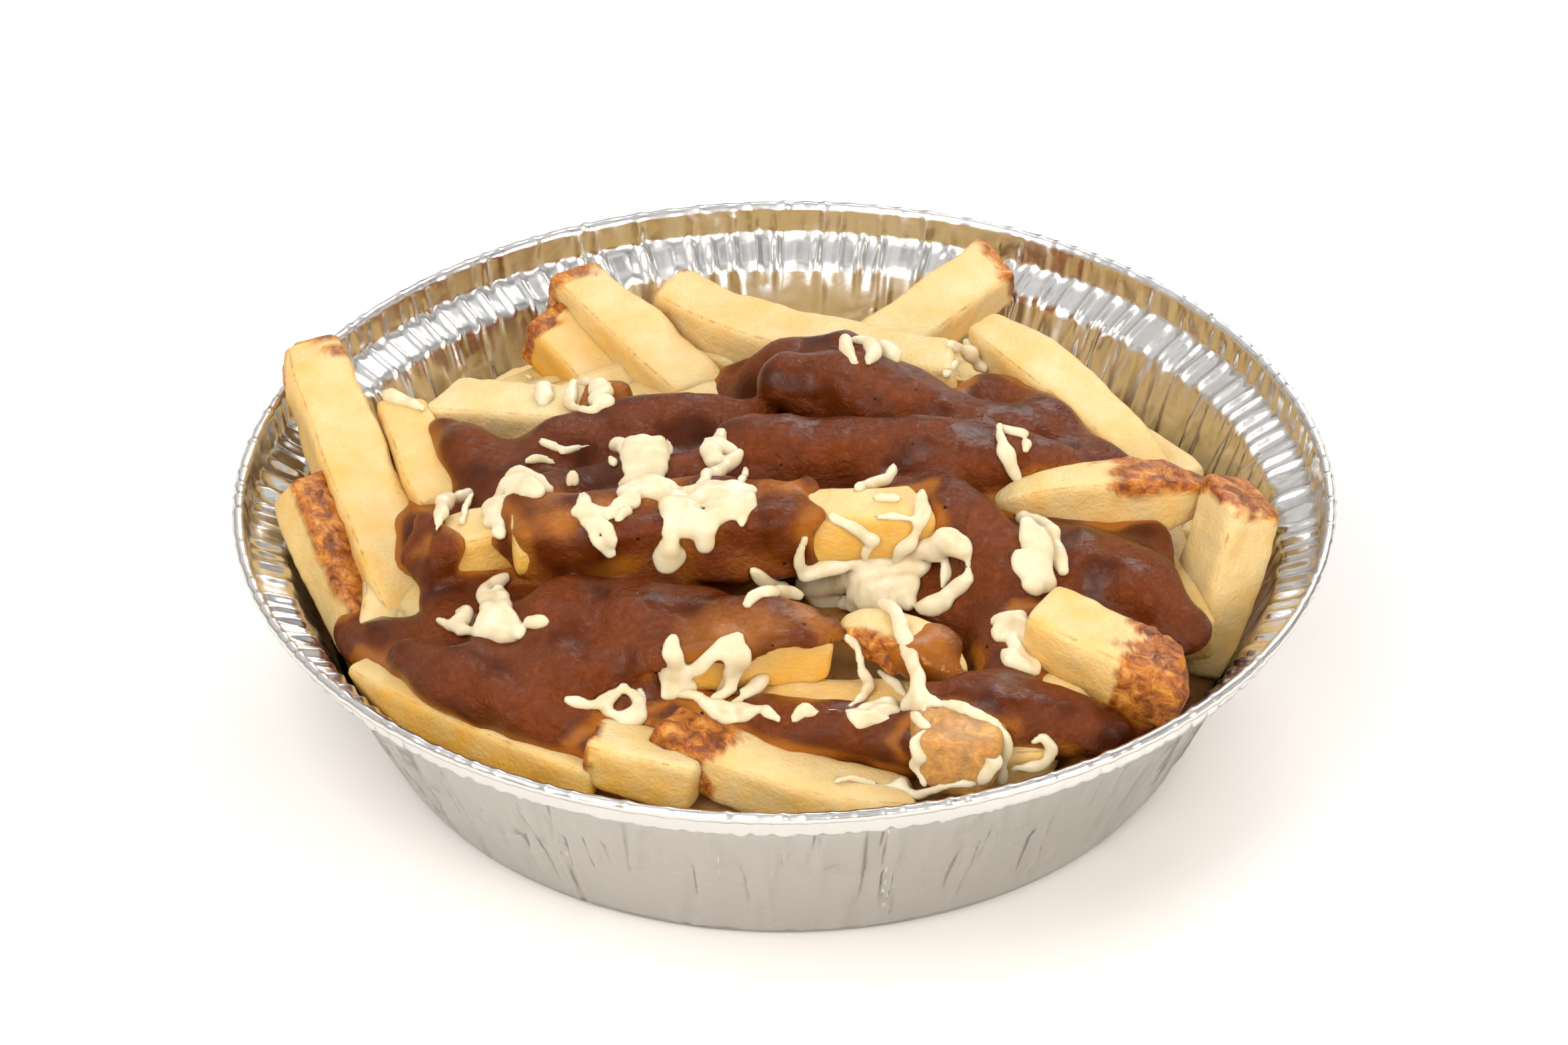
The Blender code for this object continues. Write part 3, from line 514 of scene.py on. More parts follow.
def fry_surface(spec, skin, rows, around, seed, golden=0.25):
    """A fry as a grid: P(s) + a side + b up, with rounded slanting ends and an uneven skin."""
    ends, width, thick, turn_degrees, narrow = spec
    draw = np.random.default_rng(seed)
    length = length_of(ends)
    round_end = np.radians(np.array([82, 68, 50, 32, 18, 8]))
    full = np.cos(round_end) ** 0.45
    back = END_ROUND * (1 - np.sin(round_end) ** 0.45)
    even = np.linspace(END_ROWS_START, length - END_ROWS_START, rows - 12)
    x = np.concatenate([back, even, (length - back)[::-1]])
    full = np.concatenate([full, np.ones(rows - 12), full[::-1]])
    a, b = section(around, draw.uniform(5.0, 8.0))
    s = x / length
    slim = full * (1 - narrow * np.abs(2 * s - 1) ** 2.5)
    wide = width / 2 * slim * (1 + 0.05 * np.sin(s * 5 + draw.uniform(0, 6)))
    deep = thick / 2 * slim * (1 + 0.05 * np.sin(s * 4 + draw.uniform(0, 6)))
    across = a[None, :] * wide[:, None]
    upward = b[None, :] * deep[:, None]
    slant = draw.normal(0, END_SLANT, 2)
    near = np.clip(1 - x / SLANT_REACH, 0, 1)[:, None]
    far = np.clip(1 - (length - x) / SLANT_REACH, 0, 1)[:, None]
    shift = slant[0] * across * near + slant[1] * across * far
    place, _, side, up = frame_at(ends, (x[:, None] + shift) / length, turn_degrees)
    out = side * across[..., None] + up * upward[..., None]
    grid = place + out
    away = out / np.maximum(np.linalg.norm(out, axis=-1, keepdims=True), 0.5)
    bark = skin_cover(skin, s[:, None] + 0.0 * a[None, :], a[None, :] + 0.0 * s[:, None], b, grid)
    lift = FACE_WAVES * waves(grid, 13, seed + 1) + FACE_RIPPLES * waves(grid, 3.5, seed + 2)
    rough = SKIN_FINE * waves(grid, 2.6, seed + 3) + SKIN_COARSE * np.abs(waves(grid, 4.5, seed + 4))
    lift += bark * rough
    grid = grid + away * (lift * full[:, None])[..., None]
    values = {
        # Painted shade: the sides, most on their lower half, turn a deeper golden
        "side": golden * (smooth_step(0.75, 0.98, np.abs(a)) * (0.75 - 0.25 * b))[None, :]
        * np.ones((rows, 1)),
        "edge": (smooth_step(0.72, 0.9, np.abs(a)) * smooth_step(0.72, 0.9, np.abs(b)))[None, :]
        * np.ones((rows, 1)),
        "end": np.broadcast_to(1 - smooth_step(0.0, 3.5, np.minimum(x, length - x))[:, None], lift.shape),
        "bark": bark,
        "tone": np.full(lift.shape, draw.uniform(0, 1)),
    }
    return grid, values


def skin_cover(skin, share, a, b, grid):
    """Where a fry has potato skin, from 0 to 1, with a wavy border."""
    if skin is None:
        return np.zeros(share.shape)
    low, high, face = skin
    wander = 0.03 * waves(grid, 7, 50) + 0.015 * waves(grid, 2.5, 51)
    cover = smooth_step(low - 0.02, low + 0.02, share + wander)
    cover = cover * (1 - smooth_step(high - 0.02, high + 0.02, share + wander))
    if face == "top":
        cover = cover * smooth_step(0.35, 0.75, b[None, :] + 2 * wander)
    if face == "front":
        cover = cover * smooth_step(0.35, 0.75, 2 * wander - a)
    if face == "thin":
        cover = cover * 0.65
    return cover


grid, _ = fry_surface(BARE_FRIES["centre_long"], None, 54, 48, 1)
print("one fry:", grid.shape)

# %% [markdown]
# ### Fried potato
# A fry's cut faces are pale and slightly translucent, with a thin crisp crust that is brown along the
# edges and at the ends. The sides, most on their lower half, are a deeper yellow, which is painted
# shade. Left-on skin is rust brown and mottled. The mesh carries values for side shade, edge, end and
# skin, and the material mixes the colours by them, so the pattern stays with each fry.

# %% Potato material


def potato_material(name, light, deep, dark):
    """Deep-fried potato: pores of 0.6 mm, blotches of 6 mm, glossy oil and light under the surface."""
    made, tree = new_material(name)
    place = add(tree, "TexCoord")
    spot = place.outputs["Object"]
    value = {key: add(tree, "Attribute", {"attribute_name": key}).outputs["Fac"]
             for key in ("side", "edge", "end", "bark", "tone")}
    blotch = add(tree, "TexNoise", None, {"Vector": spot, "Scale": 160.0, "Detail": 3.0})
    pores = add(tree, "TexNoise", None, {"Vector": spot, "Scale": 1500.0, "Detail": 3.0})
    mottle = add(tree, "TexNoise", None, {"Vector": spot, "Scale": 330.0, "Detail": 5.0,
                                          "Roughness": 0.7, "Distortion": 0.6})
    uneven = add(tree, "MapRange", None, {0: blotch.outputs[0], 1: 0.35, 2: 0.7, 3: 0.0, 4: 0.4})
    # Painted shade from the side mark, plus real blotches, sets how far the flesh turns the deeper yellow
    golden = add(tree, "Math", {"operation": "MULTIPLY_ADD", "use_clamp": True},
                 {0: value["side"], 1: 0.6, 2: uneven.outputs[0]})
    tinted = add(tree, "Math", {"operation": "MULTIPLY_ADD", "use_clamp": True},
                 {0: value["tone"], 1: 0.35, 2: golden.outputs[0]})
    flesh = add(tree, "Mix", {"data_type": "RGBA"},
                {0: tinted.outputs[0], 6: linear(light), 7: linear(deep)})
    tip = add(tree, "Math", {"operation": "MULTIPLY"}, {0: value["end"], 1: 0.8})
    rim = add(tree, "Math", {"operation": "MAXIMUM"}, {0: value["edge"], 1: tip.outputs[0]})
    patchy = add(tree, "Math", {"operation": "MULTIPLY"}, {0: rim.outputs[0], 1: mottle.outputs[0]})
    browned = add(tree, "MapRange", None, {0: patchy.outputs[0], 1: 0.4, 2: 0.7, 3: 0.0, 4: 0.8})
    crust = add(tree, "Mix", {"data_type": "RGBA"},
                {0: browned.outputs[0], 6: flesh.outputs[2], 7: linear(dark)})
    rust = add(tree, "ValToRGB", {"stops": [(0.3, linear("#4E240C")), (0.43, linear("#8A4712")),
                                           (0.55, linear("#B87024")), (0.68, linear("#D9A04A"))]},
               {0: mottle.outputs[0]})
    colour = add(tree, "Mix", {"data_type": "RGBA"},
                 {0: value["bark"], 6: crust.outputs[2], 7: rust.outputs[0]})
    heights = add(tree, "Math", {"operation": "MULTIPLY_ADD"},
                  {0: mottle.outputs[0], 1: 1.2, 2: pores.outputs[0]})
    relief = add(tree, "Bump", None, {"Strength": 0.75, "Distance": 0.0003,
                                      "Height": heights.outputs[0]})
    rough = add(tree, "MapRange", None, {0: blotch.outputs[0], 1: 0.3, 2: 0.7, 3: 0.38, 4: 0.6})
    shader = add(tree, "BsdfPrincipled", None, {
        "Base Color": colour.outputs[2], "Roughness": rough.outputs[0], "Normal": relief.outputs[0],
        "Subsurface Weight": 0.4, "Subsurface Radius": (1.0, 0.7, 0.35), "Subsurface Scale": 0.0025,
        "IOR": 1.45})
    add(tree, "OutputMaterial", None, {0: shader.outputs[0]})
    return made


# The second colour is the deeper yellow of the painted side shade and of the blotches
potato = potato_material("deep_fried_potato", "#DECA98", "#DFA93F", "#9C5518")

# %% All the fries that show, as one piece
FRY_ROWS = 56
FRY_AROUND = 44
WALL_GAP = 0.8

surfaces = [fry_surface(spec, SKIN.get(name), FRY_ROWS, FRY_AROUND, SEED + 10 * number,
                        1.0 if name in SHADED_GOLDEN_SIDES else 0.25)
            for number, (name, spec) in enumerate(BARE_FRIES.items())]


def wall_radius(height):
    """Inner radius of the pan's slanting wall at a height."""
    low = PAN_BASE_RADIUS + 0.9
    rise = (height - PAN_CORNER - 0.4) / (PAN_SHOULDER[1] - PAN_CORNER - 0.4)
    return low + (PAN_SHOULDER[0] - low) * rise - FOIL - WALL_GAP


def within_wall(points):
    """The points pulled inwards where they would run through the pan's wall."""
    limit = wall_radius(np.minimum(points[..., 2], PAN_SHOULDER[1])) - 0.3
    share = limit / np.maximum(np.hypot(points[..., 0], points[..., 1]), 1)
    return points * np.stack([np.minimum(1, share)] * 2 + [np.ones_like(share)], -1)


def joined(surfaces):
    """Points, faces and values of all these tubes together, the poles taking their ring's mean."""
    points, faces = closed_tubes(np.stack([grid for grid, _ in surfaces]))
    values = {}
    for key in surfaces[0][1]:
        rings = np.stack([value[key] for _, value in surfaces])
        poles = np.stack([rings[:, 0].mean(1), rings[:, -1].mean(1)], 1)
        values[key] = np.concatenate([rings.reshape(len(rings), -1), poles], 1).ravel()
    return points, faces, values


points, faces, values = joined(surfaces)
low = points[:, 2] < PAN_SHOULDER[1]
points[low] = within_wall(points[low])
new_piece("fries_that_show", points, faces, potato, ["fries_heap"], values)

# %% [markdown]
# ### The imported fries below
# Under the fries that show lie more of them, on a dark bed that fills the pan; its dark colour is
# painted shade, deep in the heap. They are laid by a rule: a random place, direction and bend, kept
# inside the wall, and low enough to stay below the fries on top.

# %% The bed and its height
CORE_CROWN = 42.0
CORE_EDGE = 29.0
CORE_BACK_DROP = 13.0
CORE_LUMP = 1.2


def bed_height(x, y):
    """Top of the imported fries: a low dome, lower at the back, with lumps the size of a fry."""
    r, a = np.hypot(x, y), np.arctan2(y, x)
    q = r / (wall_radius(CORE_EDGE) + FOIL + WALL_GAP)
    dome = CORE_EDGE + (CORE_CROWN - CORE_EDGE) * (1 - q ** 3)
    lumps = CORE_LUMP * np.sin(5 * a + 0.11 * r) * np.sin(0.24 * r)
    return dome - CORE_BACK_DROP * np.maximum(0, np.sin(a)) * q ** 4 + lumps


PACKED_FRIES = 60
PACKED_ROWS = 26
PACKED_AROUND = 20
# The middles lie within this radius, and the tips keep this far from the wall, in mm
PACKED_REACH = 78
PACKED_WALL_GAP = 6.5
# Least and greatest length, depth under the bed's height, width, thickness and turn
PACKED_LENGTH, PACKED_DEPTH = (30, 52), (4.0, 7.5)
PACKED_WIDTH, PACKED_THICK, PACKED_TURN = (9, 11.5), (7.5, 9.5), (-20, 20)

draw = np.random.default_rng(SEED + 900)
packed = []
while len(packed) < PACKED_FRIES:
    middle_radius, middle_angle = PACKED_REACH * draw.uniform(0, 1) ** 0.5, draw.uniform(0, 2 * np.pi)
    way = draw.uniform(0, np.pi)
    length = draw.uniform(*PACKED_LENGTH)
    middle = middle_radius * np.array([math.cos(middle_angle), math.sin(middle_angle)])
    reach = np.array([math.cos(way), math.sin(way)]) * length / 2
    tips = np.stack([middle - reach, middle, middle + reach])
    rest = bed_height(tips[:, 0], tips[:, 1]) - draw.uniform(*PACKED_DEPTH)
    if (np.hypot(tips[:, 0], tips[:, 1]) > wall_radius(rest) - PACKED_WALL_GAP).any():
        continue
    # Gravy covers the middle and the front, so no fry is needed there
    if middle[1] < 24 and abs(middle[0]) < 56 or middle[1] < -20:
        continue
    ends = np.concatenate([tips, rest[:, None]], 1)
    spec = (ends, draw.uniform(*PACKED_WIDTH), draw.uniform(*PACKED_THICK), draw.uniform(*PACKED_TURN), 0.12)
    packed.append(fry_surface(spec, None, PACKED_ROWS, PACKED_AROUND, SEED + 2000 + len(packed)))
points, faces, values = joined(packed)
new_piece("fries_packed_below", points, faces, potato, ["fries_heap"], values)

# %% The bed under them, dark with painted shade
BED_ROWS = 40
BED_AROUND = 120
BED_DROP = 7.0
BED_EDGE_DROP = 6
BED_WALL_GAP = 0.4

bed_turn = np.arange(BED_AROUND) / BED_AROUND * 2 * np.pi
top_radius = wall_radius(CORE_EDGE - 4) * np.linspace(0.03, 1, BED_ROWS)[:, None]
x, y = top_radius * np.cos(bed_turn), top_radius * np.sin(bed_turn)
top = np.stack([x, y, bed_height(x, y) - BED_DROP - BED_EDGE_DROP * smooth_step(60, 78, top_radius)], -1)
top[:, :, :2] *= np.minimum(1, (wall_radius(top[:, :, 2]) - BED_WALL_GAP) / top_radius)[:, :, None]
low = np.linspace(0.9, 0.2, 3)[:, None] * wall_radius(1.0)
foot = np.stack([low * np.cos(bed_turn), low * np.sin(bed_turn), np.full((3, BED_AROUND), 1.0)], -1)
points, faces = closed_tubes(np.concatenate([top, foot])[None])
# Dark potato colours: painted shade deep down in the heap
painted_shade_bed_look = potato_material("potato_in_painted_shade", "#96682C", "#6E3E16", "#421F0A")
new_piece("bed_in_painted_shade", points, faces, painted_shade_bed_look, ["fries_heap"])

# %% [markdown]
# ## The gravy
# Gravy is thick enough to lie on the fries as a blanket: it rounds off every ridge, fills the gaps
# and ends in a fat rim. Such a body is easy to say as a field of distances: each coated stick and
# each pool is a rounded form, and a smooth minimum lets them run together. The surface is then found
# where the field is zero, with one point in each cell that it crosses.

# %% Distance fields


def stick_distance(q, ends, width, thick, turn_degrees, narrow, corner, part=(0.0, 1.0)):
    """Distance from points to a rounded bar along a bent line, near the part of it between two shares."""
    shares = np.linspace(part[0], part[1], 25)
    knots, _ = line_at(ends, shares)
    nearest = ((q[:, None, :] - knots) ** 2).sum(-1).argmin(1)
    place, along = line_at(ends, shares[nearest])
    reach = length_of(ends)
    s = shares[nearest] + ((q - place) * along).sum(-1) / reach
    kept = np.clip(s, part[0], part[1])
    place, along, side, up = frame_at(ends, kept, turn_degrees)
    gap = q - place
    slim = 1 - narrow * np.abs(2 * kept - 1) ** 2.5
    over = np.maximum(np.abs((gap * along).sum(-1)) - 0.2, 0)
    a = np.abs((gap * side).sum(-1)) - (width / 2 * slim - corner)
    b = np.abs((gap * up).sum(-1)) - (thick / 2 * slim - corner)
    outside = np.sqrt(np.maximum(a, 0) ** 2 + np.maximum(b, 0) ** 2 + over ** 2)
    return outside + np.minimum(np.maximum(a, b), 0) - corner


def pad_distance(q, centre, half_sizes, turn_degrees):
    """Near enough the distance to an ellipsoid turned about Z: k (k - 1) / |p / r^2|, k = |p / r|."""
    c, s = math.cos(math.radians(turn_degrees)), math.sin(math.radians(turn_degrees))
    p = (q - np.array(centre, float)) @ np.array([[c, -s, 0], [s, c, 0], [0, 0, 1.0]])
    r = np.array(half_sizes, float)
    k = np.linalg.norm(p / r, axis=-1)
    return k * (k - 1) / np.maximum(np.linalg.norm(p / r ** 2, axis=-1), 1e-6)


def smooth_min(a, b, blend):
    """The lower of two fields, rounded where they are within blend of each other."""
    h = np.clip(0.5 + 0.5 * (b - a) / blend, 0, 1)
    return b + (a - b) * h - blend * h * (1 - h)


class Field:
    """Distances on a box of grid points. Forms are merged only near where they are."""

    def __init__(self, low, high, step):
        self.low = np.array(low, float)
        self.step = step
        self.shape = tuple(np.ceil((np.array(high) - self.low) / step).astype(int) + 1)
        self.value = np.full(self.shape, 1e3)

    def merge(self, low, high, distance, blend):
        """Merges a form whose box is low to high, by a function that gives its distance at points."""
        a = np.clip(((np.array(low) - self.low) / self.step).astype(int), 0, self.shape)
        b = np.clip(((np.array(high) - self.low) / self.step).astype(int) + 2, 0, self.shape)
        axes = [self.low[k] + self.step * np.arange(a[k], b[k]) for k in range(3)]
        q = np.stack(np.meshgrid(*axes, indexing="ij"), -1)
        part = tuple(slice(a[k], b[k]) for k in range(3))
        new = distance(q.reshape(-1, 3)).reshape(q.shape[:3])
        self.value[part] = smooth_min(self.value[part], new, blend)


def surface_net(field):
    """Points and quads of the field's zero surface: a point in each cut cell, at its cuts' mean."""
    value, inside = field.value, field.value < 0
    n = np.array(value.shape)
    corners = [(i, j, k) for i in (0, 1) for j in (0, 1) for k in (0, 1)]
    part = {c: tuple(slice(c[k], n[k] - 1 + c[k]) for k in range(3)) for c in corners}
    count = sum(inside[part[c]].astype(int) for c in corners)
    cut = (count > 0) & (count < 8)
    number = np.full(cut.shape, -1)
    number[cut] = np.arange(cut.sum())
    at = {c: value[part[c]][cut] for c in corners}
    total, hits = np.zeros((cut.sum(), 3)), np.zeros(cut.sum())
    for a in corners:
        for axis in range(3):
            b = tuple(1 if k == axis else a[k] for k in range(3))
            crossed = (at[a] < 0) != (at[b] < 0)
            share = np.where(crossed, at[a] / np.where(crossed, at[a] - at[b], 1), 0)
            spot = np.array(a, float) + share[:, None] * np.eye(3)[axis]
            total += spot * crossed[:, None]
            hits += crossed
    points = field.low + (np.argwhere(cut) + total / hits[:, None]) * field.step
    quads = []
    for axis in range(3):
        change = np.diff(inside.astype(int), axis=axis)
        place = np.argwhere(change)
        sign = change[tuple(place.T)]
        u, v = np.eye(3, dtype=int)[(axis + 1) % 3], np.eye(3, dtype=int)[(axis + 2) % 3]
        ring = np.stack([number[tuple((place - off).T)] for off in (0 * u, u, u + v, v)], -1)
        quads.append(np.where(sign[:, None] > 0, ring, ring[:, ::-1]))
    return points, np.concatenate(quads)


print("fields ready")

# %% The gravy's forms
# Ridges: line, width, thickness, narrowing. The places are partly from the script that gave the
# fries' places, and partly set by hand
GRAVY_RIDGES = [
    ([(-57, 13, 42), (-42, -8, 42)], 12, 11, 0.2),
    ([(-24, -55, 34), (-2, -57, 34), (19, -62, 35)], 10.5, 10, 0.1),
    ([(-61, -42, 37), (-47, -53, 37), (-31, -61, 34)], 12, 11, 0.3),
    ([(25, -58, 39), (37, -59, 38), (51, -60, 34)], 13, 11, 0.3),
    ([(18, -10, 47), (29, -20, 47), (39, -30, 43)], 14, 12, 0.3),
    ([(42, -20, 41), (54, -25, 41), (64, -32, 37)], 14, 12, 0.3),
    ([(1, 19, 51), (18, 15, 48), (40, 10, 44)], 13, 12, 0.2),
    ([(-8, 1, 49), (18, -1, 49), (46, -1, 46)], 13, 12, 0.2),
    ([(-46, 2, 42), (-27, 11, 44.5), (-8, 13, 44)], 13, 12, 0.2),
    ([(-41, -10, 45), (-23, -8, 46), (-6, -5, 46)], 13, 12, 0.2),
    ([(-45, -40, 43), (-26, -40, 44), (-7, -40, 42)], 14, 11, 0.4),
    ([(-41, -51, 39), (-32, -48, 40), (-22, -46, 40)], 13, 12, 0.2),
    ([(36, 27, 42), (48, 10, 42), (60, 2, 40)], 13, 9, 0.3),
    ([(-3, 29, 45), (8, 26, 47), (24, 20, 46)], 13, 12, 0.3),
    ([(38, -28, 42), (37, -40, 40), (34, -53, 36)], 13, 8, 0.2),
]
# Coated fries: from and to as shares of the length, and the height the coat comes down to
GRAVY_COATS = {
    "centre_long": (0.035, 0.72, 30),
    "front_centre": (0.0, 0.93, 43.5),
    "left_stub": (0.0, 0.03, 30),
    "left_yellow": (0.88, 1.0, 30),
    "lens_with_skin": (0.7, 1.0, 30),
}
COAT_DEPTH = 1.5
# Pools and mounds: centre, half sizes, turn
GRAVY_PADS = [
    ((-8, 2, 39), (44, 24, 7), 0),
    ((-34, -26, 38), (26, 24, 6), 0),
    ((34, -14, 39), (32, 22, 6), -20),
    ((-52, 0, 36), (14, 20, 5), -30),
    ((-66, -28, 29), (11, 7, 5), -50),
    ((-50, -40, 33), (20, 10, 5), -35),
    ((-32, -50, 34), (16, 12, 5), 0),
    ((12, -52, 29), (30, 11, 4), 0),
    ((46, -38, 35), (22, 14, 5), -30),
    ((58, -50, 28), (16, 10, 5), 40),
    ((20, 24, 40), (36, 12, 5), -20),
]
GRAVY_STEP = 0.85
# Width in mm over which each kind of form runs into the rest, and the rounding of sticks' corners
PAD_BLEND, RIDGE_BLEND, COAT_BLEND = 4.0, 4.2, 2.0
RIDGE_CORNER, COAT_CORNER = 5.0, 2.4
# Uneven surface of the gravy: depth and size in mm, and seed
GRAVY_SWELLS = [(0.55, 14, 60), (0.06, 6, 61)]
GRAVY_LUMPS = (0.15, 9, 63)

gravy_field = Field((-84, -80, 18), (82, 50, 64), GRAVY_STEP)
for centre, half_sizes, turned in GRAVY_PADS:
    span = np.full(3, max(half_sizes[:2]) + 4.0)
    span[2] = half_sizes[2] + 6
    gravy_field.merge(np.array(centre) - span, np.array(centre) + span,
                      lambda q: pad_distance(q, centre, half_sizes, turned), PAD_BLEND)
for ends, width, thick, narrow in GRAVY_RIDGES:
    low, high = np.array(ends).min(0) - 14, np.array(ends).max(0) + 14
    gravy_field.merge(low, high, lambda q: stick_distance(q, ends, width, thick, 0, narrow, RIDGE_CORNER),
                      RIDGE_BLEND)


def coat_distance(q, name, start, end, lowest):
    """Distance to the coat on a fry: the fry grown all round, with wavy ends and a wavy lower edge."""
    ends, width, thick, turned, narrow = BARE_FRIES[name]
    along = (np.array(ends[-1]) - ends[0]) / np.linalg.norm(np.array(ends[-1]) - ends[0])
    moved = q + 1.0 * waves(q, 9, 64)[:, None] * along
    grown = stick_distance(moved, ends, width + 2 * COAT_DEPTH, thick + 2 * COAT_DEPTH, turned, narrow,
                           COAT_CORNER, (start, end))
    return np.maximum(grown, lowest + 0.9 * waves(q * (1, 1, 0), 10, 59) - q[:, 2])


for name, (start, end, lowest) in GRAVY_COATS.items():
    ends = np.array(BARE_FRIES[name][0])
    gravy_field.merge(ends.min(0) - 12, ends.max(0) + 12,
                      lambda q: coat_distance(q, name, start, end, lowest), COAT_BLEND)
axes = [gravy_field.low[k] + GRAVY_STEP * np.arange(gravy_field.shape[k]) for k in range(3)]
spots = np.stack(np.meshgrid(*axes, indexing="ij"), -1)
wall = wall_radius(np.minimum(spots[..., 2], PAN_SHOULDER[1]))
inside_wall = np.hypot(spots[..., 0], spots[..., 1]) - wall
gravy_field.value = np.maximum(gravy_field.value, inside_wall)
near_surface = np.abs(gravy_field.value) < 3
for deep, size, seed in GRAVY_SWELLS:
    gravy_field.value[near_surface] += deep * waves(spots[near_surface], size, seed)
deep, size, seed = GRAVY_LUMPS
gravy_field.value[near_surface] += deep * np.abs(waves(spots[near_surface], size, seed))
points, quads = surface_net(gravy_field)
points = within_wall(points)
print("gravy:", len(quads), "quads")

# %% [markdown]
# ### Brown gravy
# Stock thickened with flour is dark red brown where it is deep and orange brown where it is thin, so
# the mesh carries how thinly it covers the nearest fry. It is wet, with wrinkles of two millimetres
# and less where a film has set, and flecks of pepper.

# %% Gravy material


def gravy_material():
    """Thick brown gravy: wet gloss, a wrinkled set film, pepper flecks 0.65 mm across."""
    made, tree = new_material("thick_brown_gravy")
    place = add(tree, "TexCoord")
    spot = place.outputs["Object"]
    thin = add(tree, "Attribute", {"attribute_name": "thin"})
    cloud = add(tree, "TexNoise", None, {"Vector": spot, "Scale": 110.0, "Detail": 4.0})
    wrinkle = add(tree, "TexNoise", None, {"Vector": spot, "Scale": 520.0, "Detail": 6.0,
                                           "Roughness": 0.6, "Distortion": 1.6})
    deep = add(tree, "ValToRGB", {"stops": [(0.35, linear("#461C06")), (0.65, linear("#76360E"))]},
               {0: cloud.outputs[0]})
    light = add(tree, "Mix", {"data_type": "RGBA"},
                {0: thin.outputs["Fac"], 6: deep.outputs[0], 7: linear("#A9651F")})
    pepper = add(tree, "TexVoronoi", {"feature": "F1"}, {"Vector": spot, "Scale": 260.0})
    chance = add(tree, "SeparateColor", None, {0: pepper.outputs["Color"]})
    rare = add(tree, "Math", {"operation": "GREATER_THAN"}, {0: chance.outputs[0], 1: 0.5})
    small = add(tree, "Math", {"operation": "LESS_THAN"}, {0: pepper.outputs["Distance"], 1: 0.085})
    fleck = add(tree, "Math", {"operation": "MULTIPLY"}, {0: rare.outputs[0], 1: small.outputs[0]})
    colour = add(tree, "Mix", {"data_type": "RGBA"},
                 {0: fleck.outputs[0], 6: light.outputs[2], 7: linear("#1E0D07")})
    film = add(tree, "MapRange", None, {0: cloud.outputs[0], 1: 0.45, 2: 0.62, 3: 0.15, 4: 1.0})
    folds = add(tree, "Math", {"operation": "MULTIPLY"}, {0: wrinkle.outputs[0], 1: film.outputs[0]})
    relief = add(tree, "Bump", None, {"Strength": 0.9, "Distance": 0.0011,
                                      "Height": folds.outputs[0]})
    rough = add(tree, "MapRange", None, {0: cloud.outputs[0], 1: 0.3, 2: 0.7, 3: 0.18, 4: 0.34})
    shader = add(tree, "BsdfPrincipled", None, {
        "Base Color": colour.outputs[2], "Roughness": rough.outputs[0], "Normal": relief.outputs[0],
        "Subsurface Weight": 0.12, "Subsurface Radius": (0.8, 0.4, 0.2), "Subsurface Scale": 0.0012,
        "IOR": 1.36, "Specular IOR Level": 0.32})
    add(tree, "OutputMaterial", None, {0: shader.outputs[0]})
    return made


sauce = gravy_material()
depth = np.full(len(points), 9.0)
for name, (ends, width, thick, turned, narrow) in BARE_FRIES.items():
    low, high = np.array(ends).min(0) - 12, np.array(ends).max(0) + 12
    close = ((points > low) & (points < high)).all(1)
    depth[close] = np.minimum(depth[close], np.abs(stick_distance(
        points[close], ends, width, thick, turned, narrow, 1.2)))
thin = 0.8 * (1 - smooth_step(0.2, 2.0, depth + 0.5 * waves(points, 10, 62)))
new_piece("poured_gravy", points, [quads], sauce, ["gravy"], {"thin": thin})

# %% [markdown]
# ## The cheese
# Shreds of mozzarella start as strips about two millimetres thick. Where they met hot gravy they
# melted, ran together in webs and sheets and hang down in drips; where they lay high they kept their
# form. Each clump is a field again: strands along smooth lines, flatter towards the camera than they
# are wide, and merged so that their crossings fill like a web.

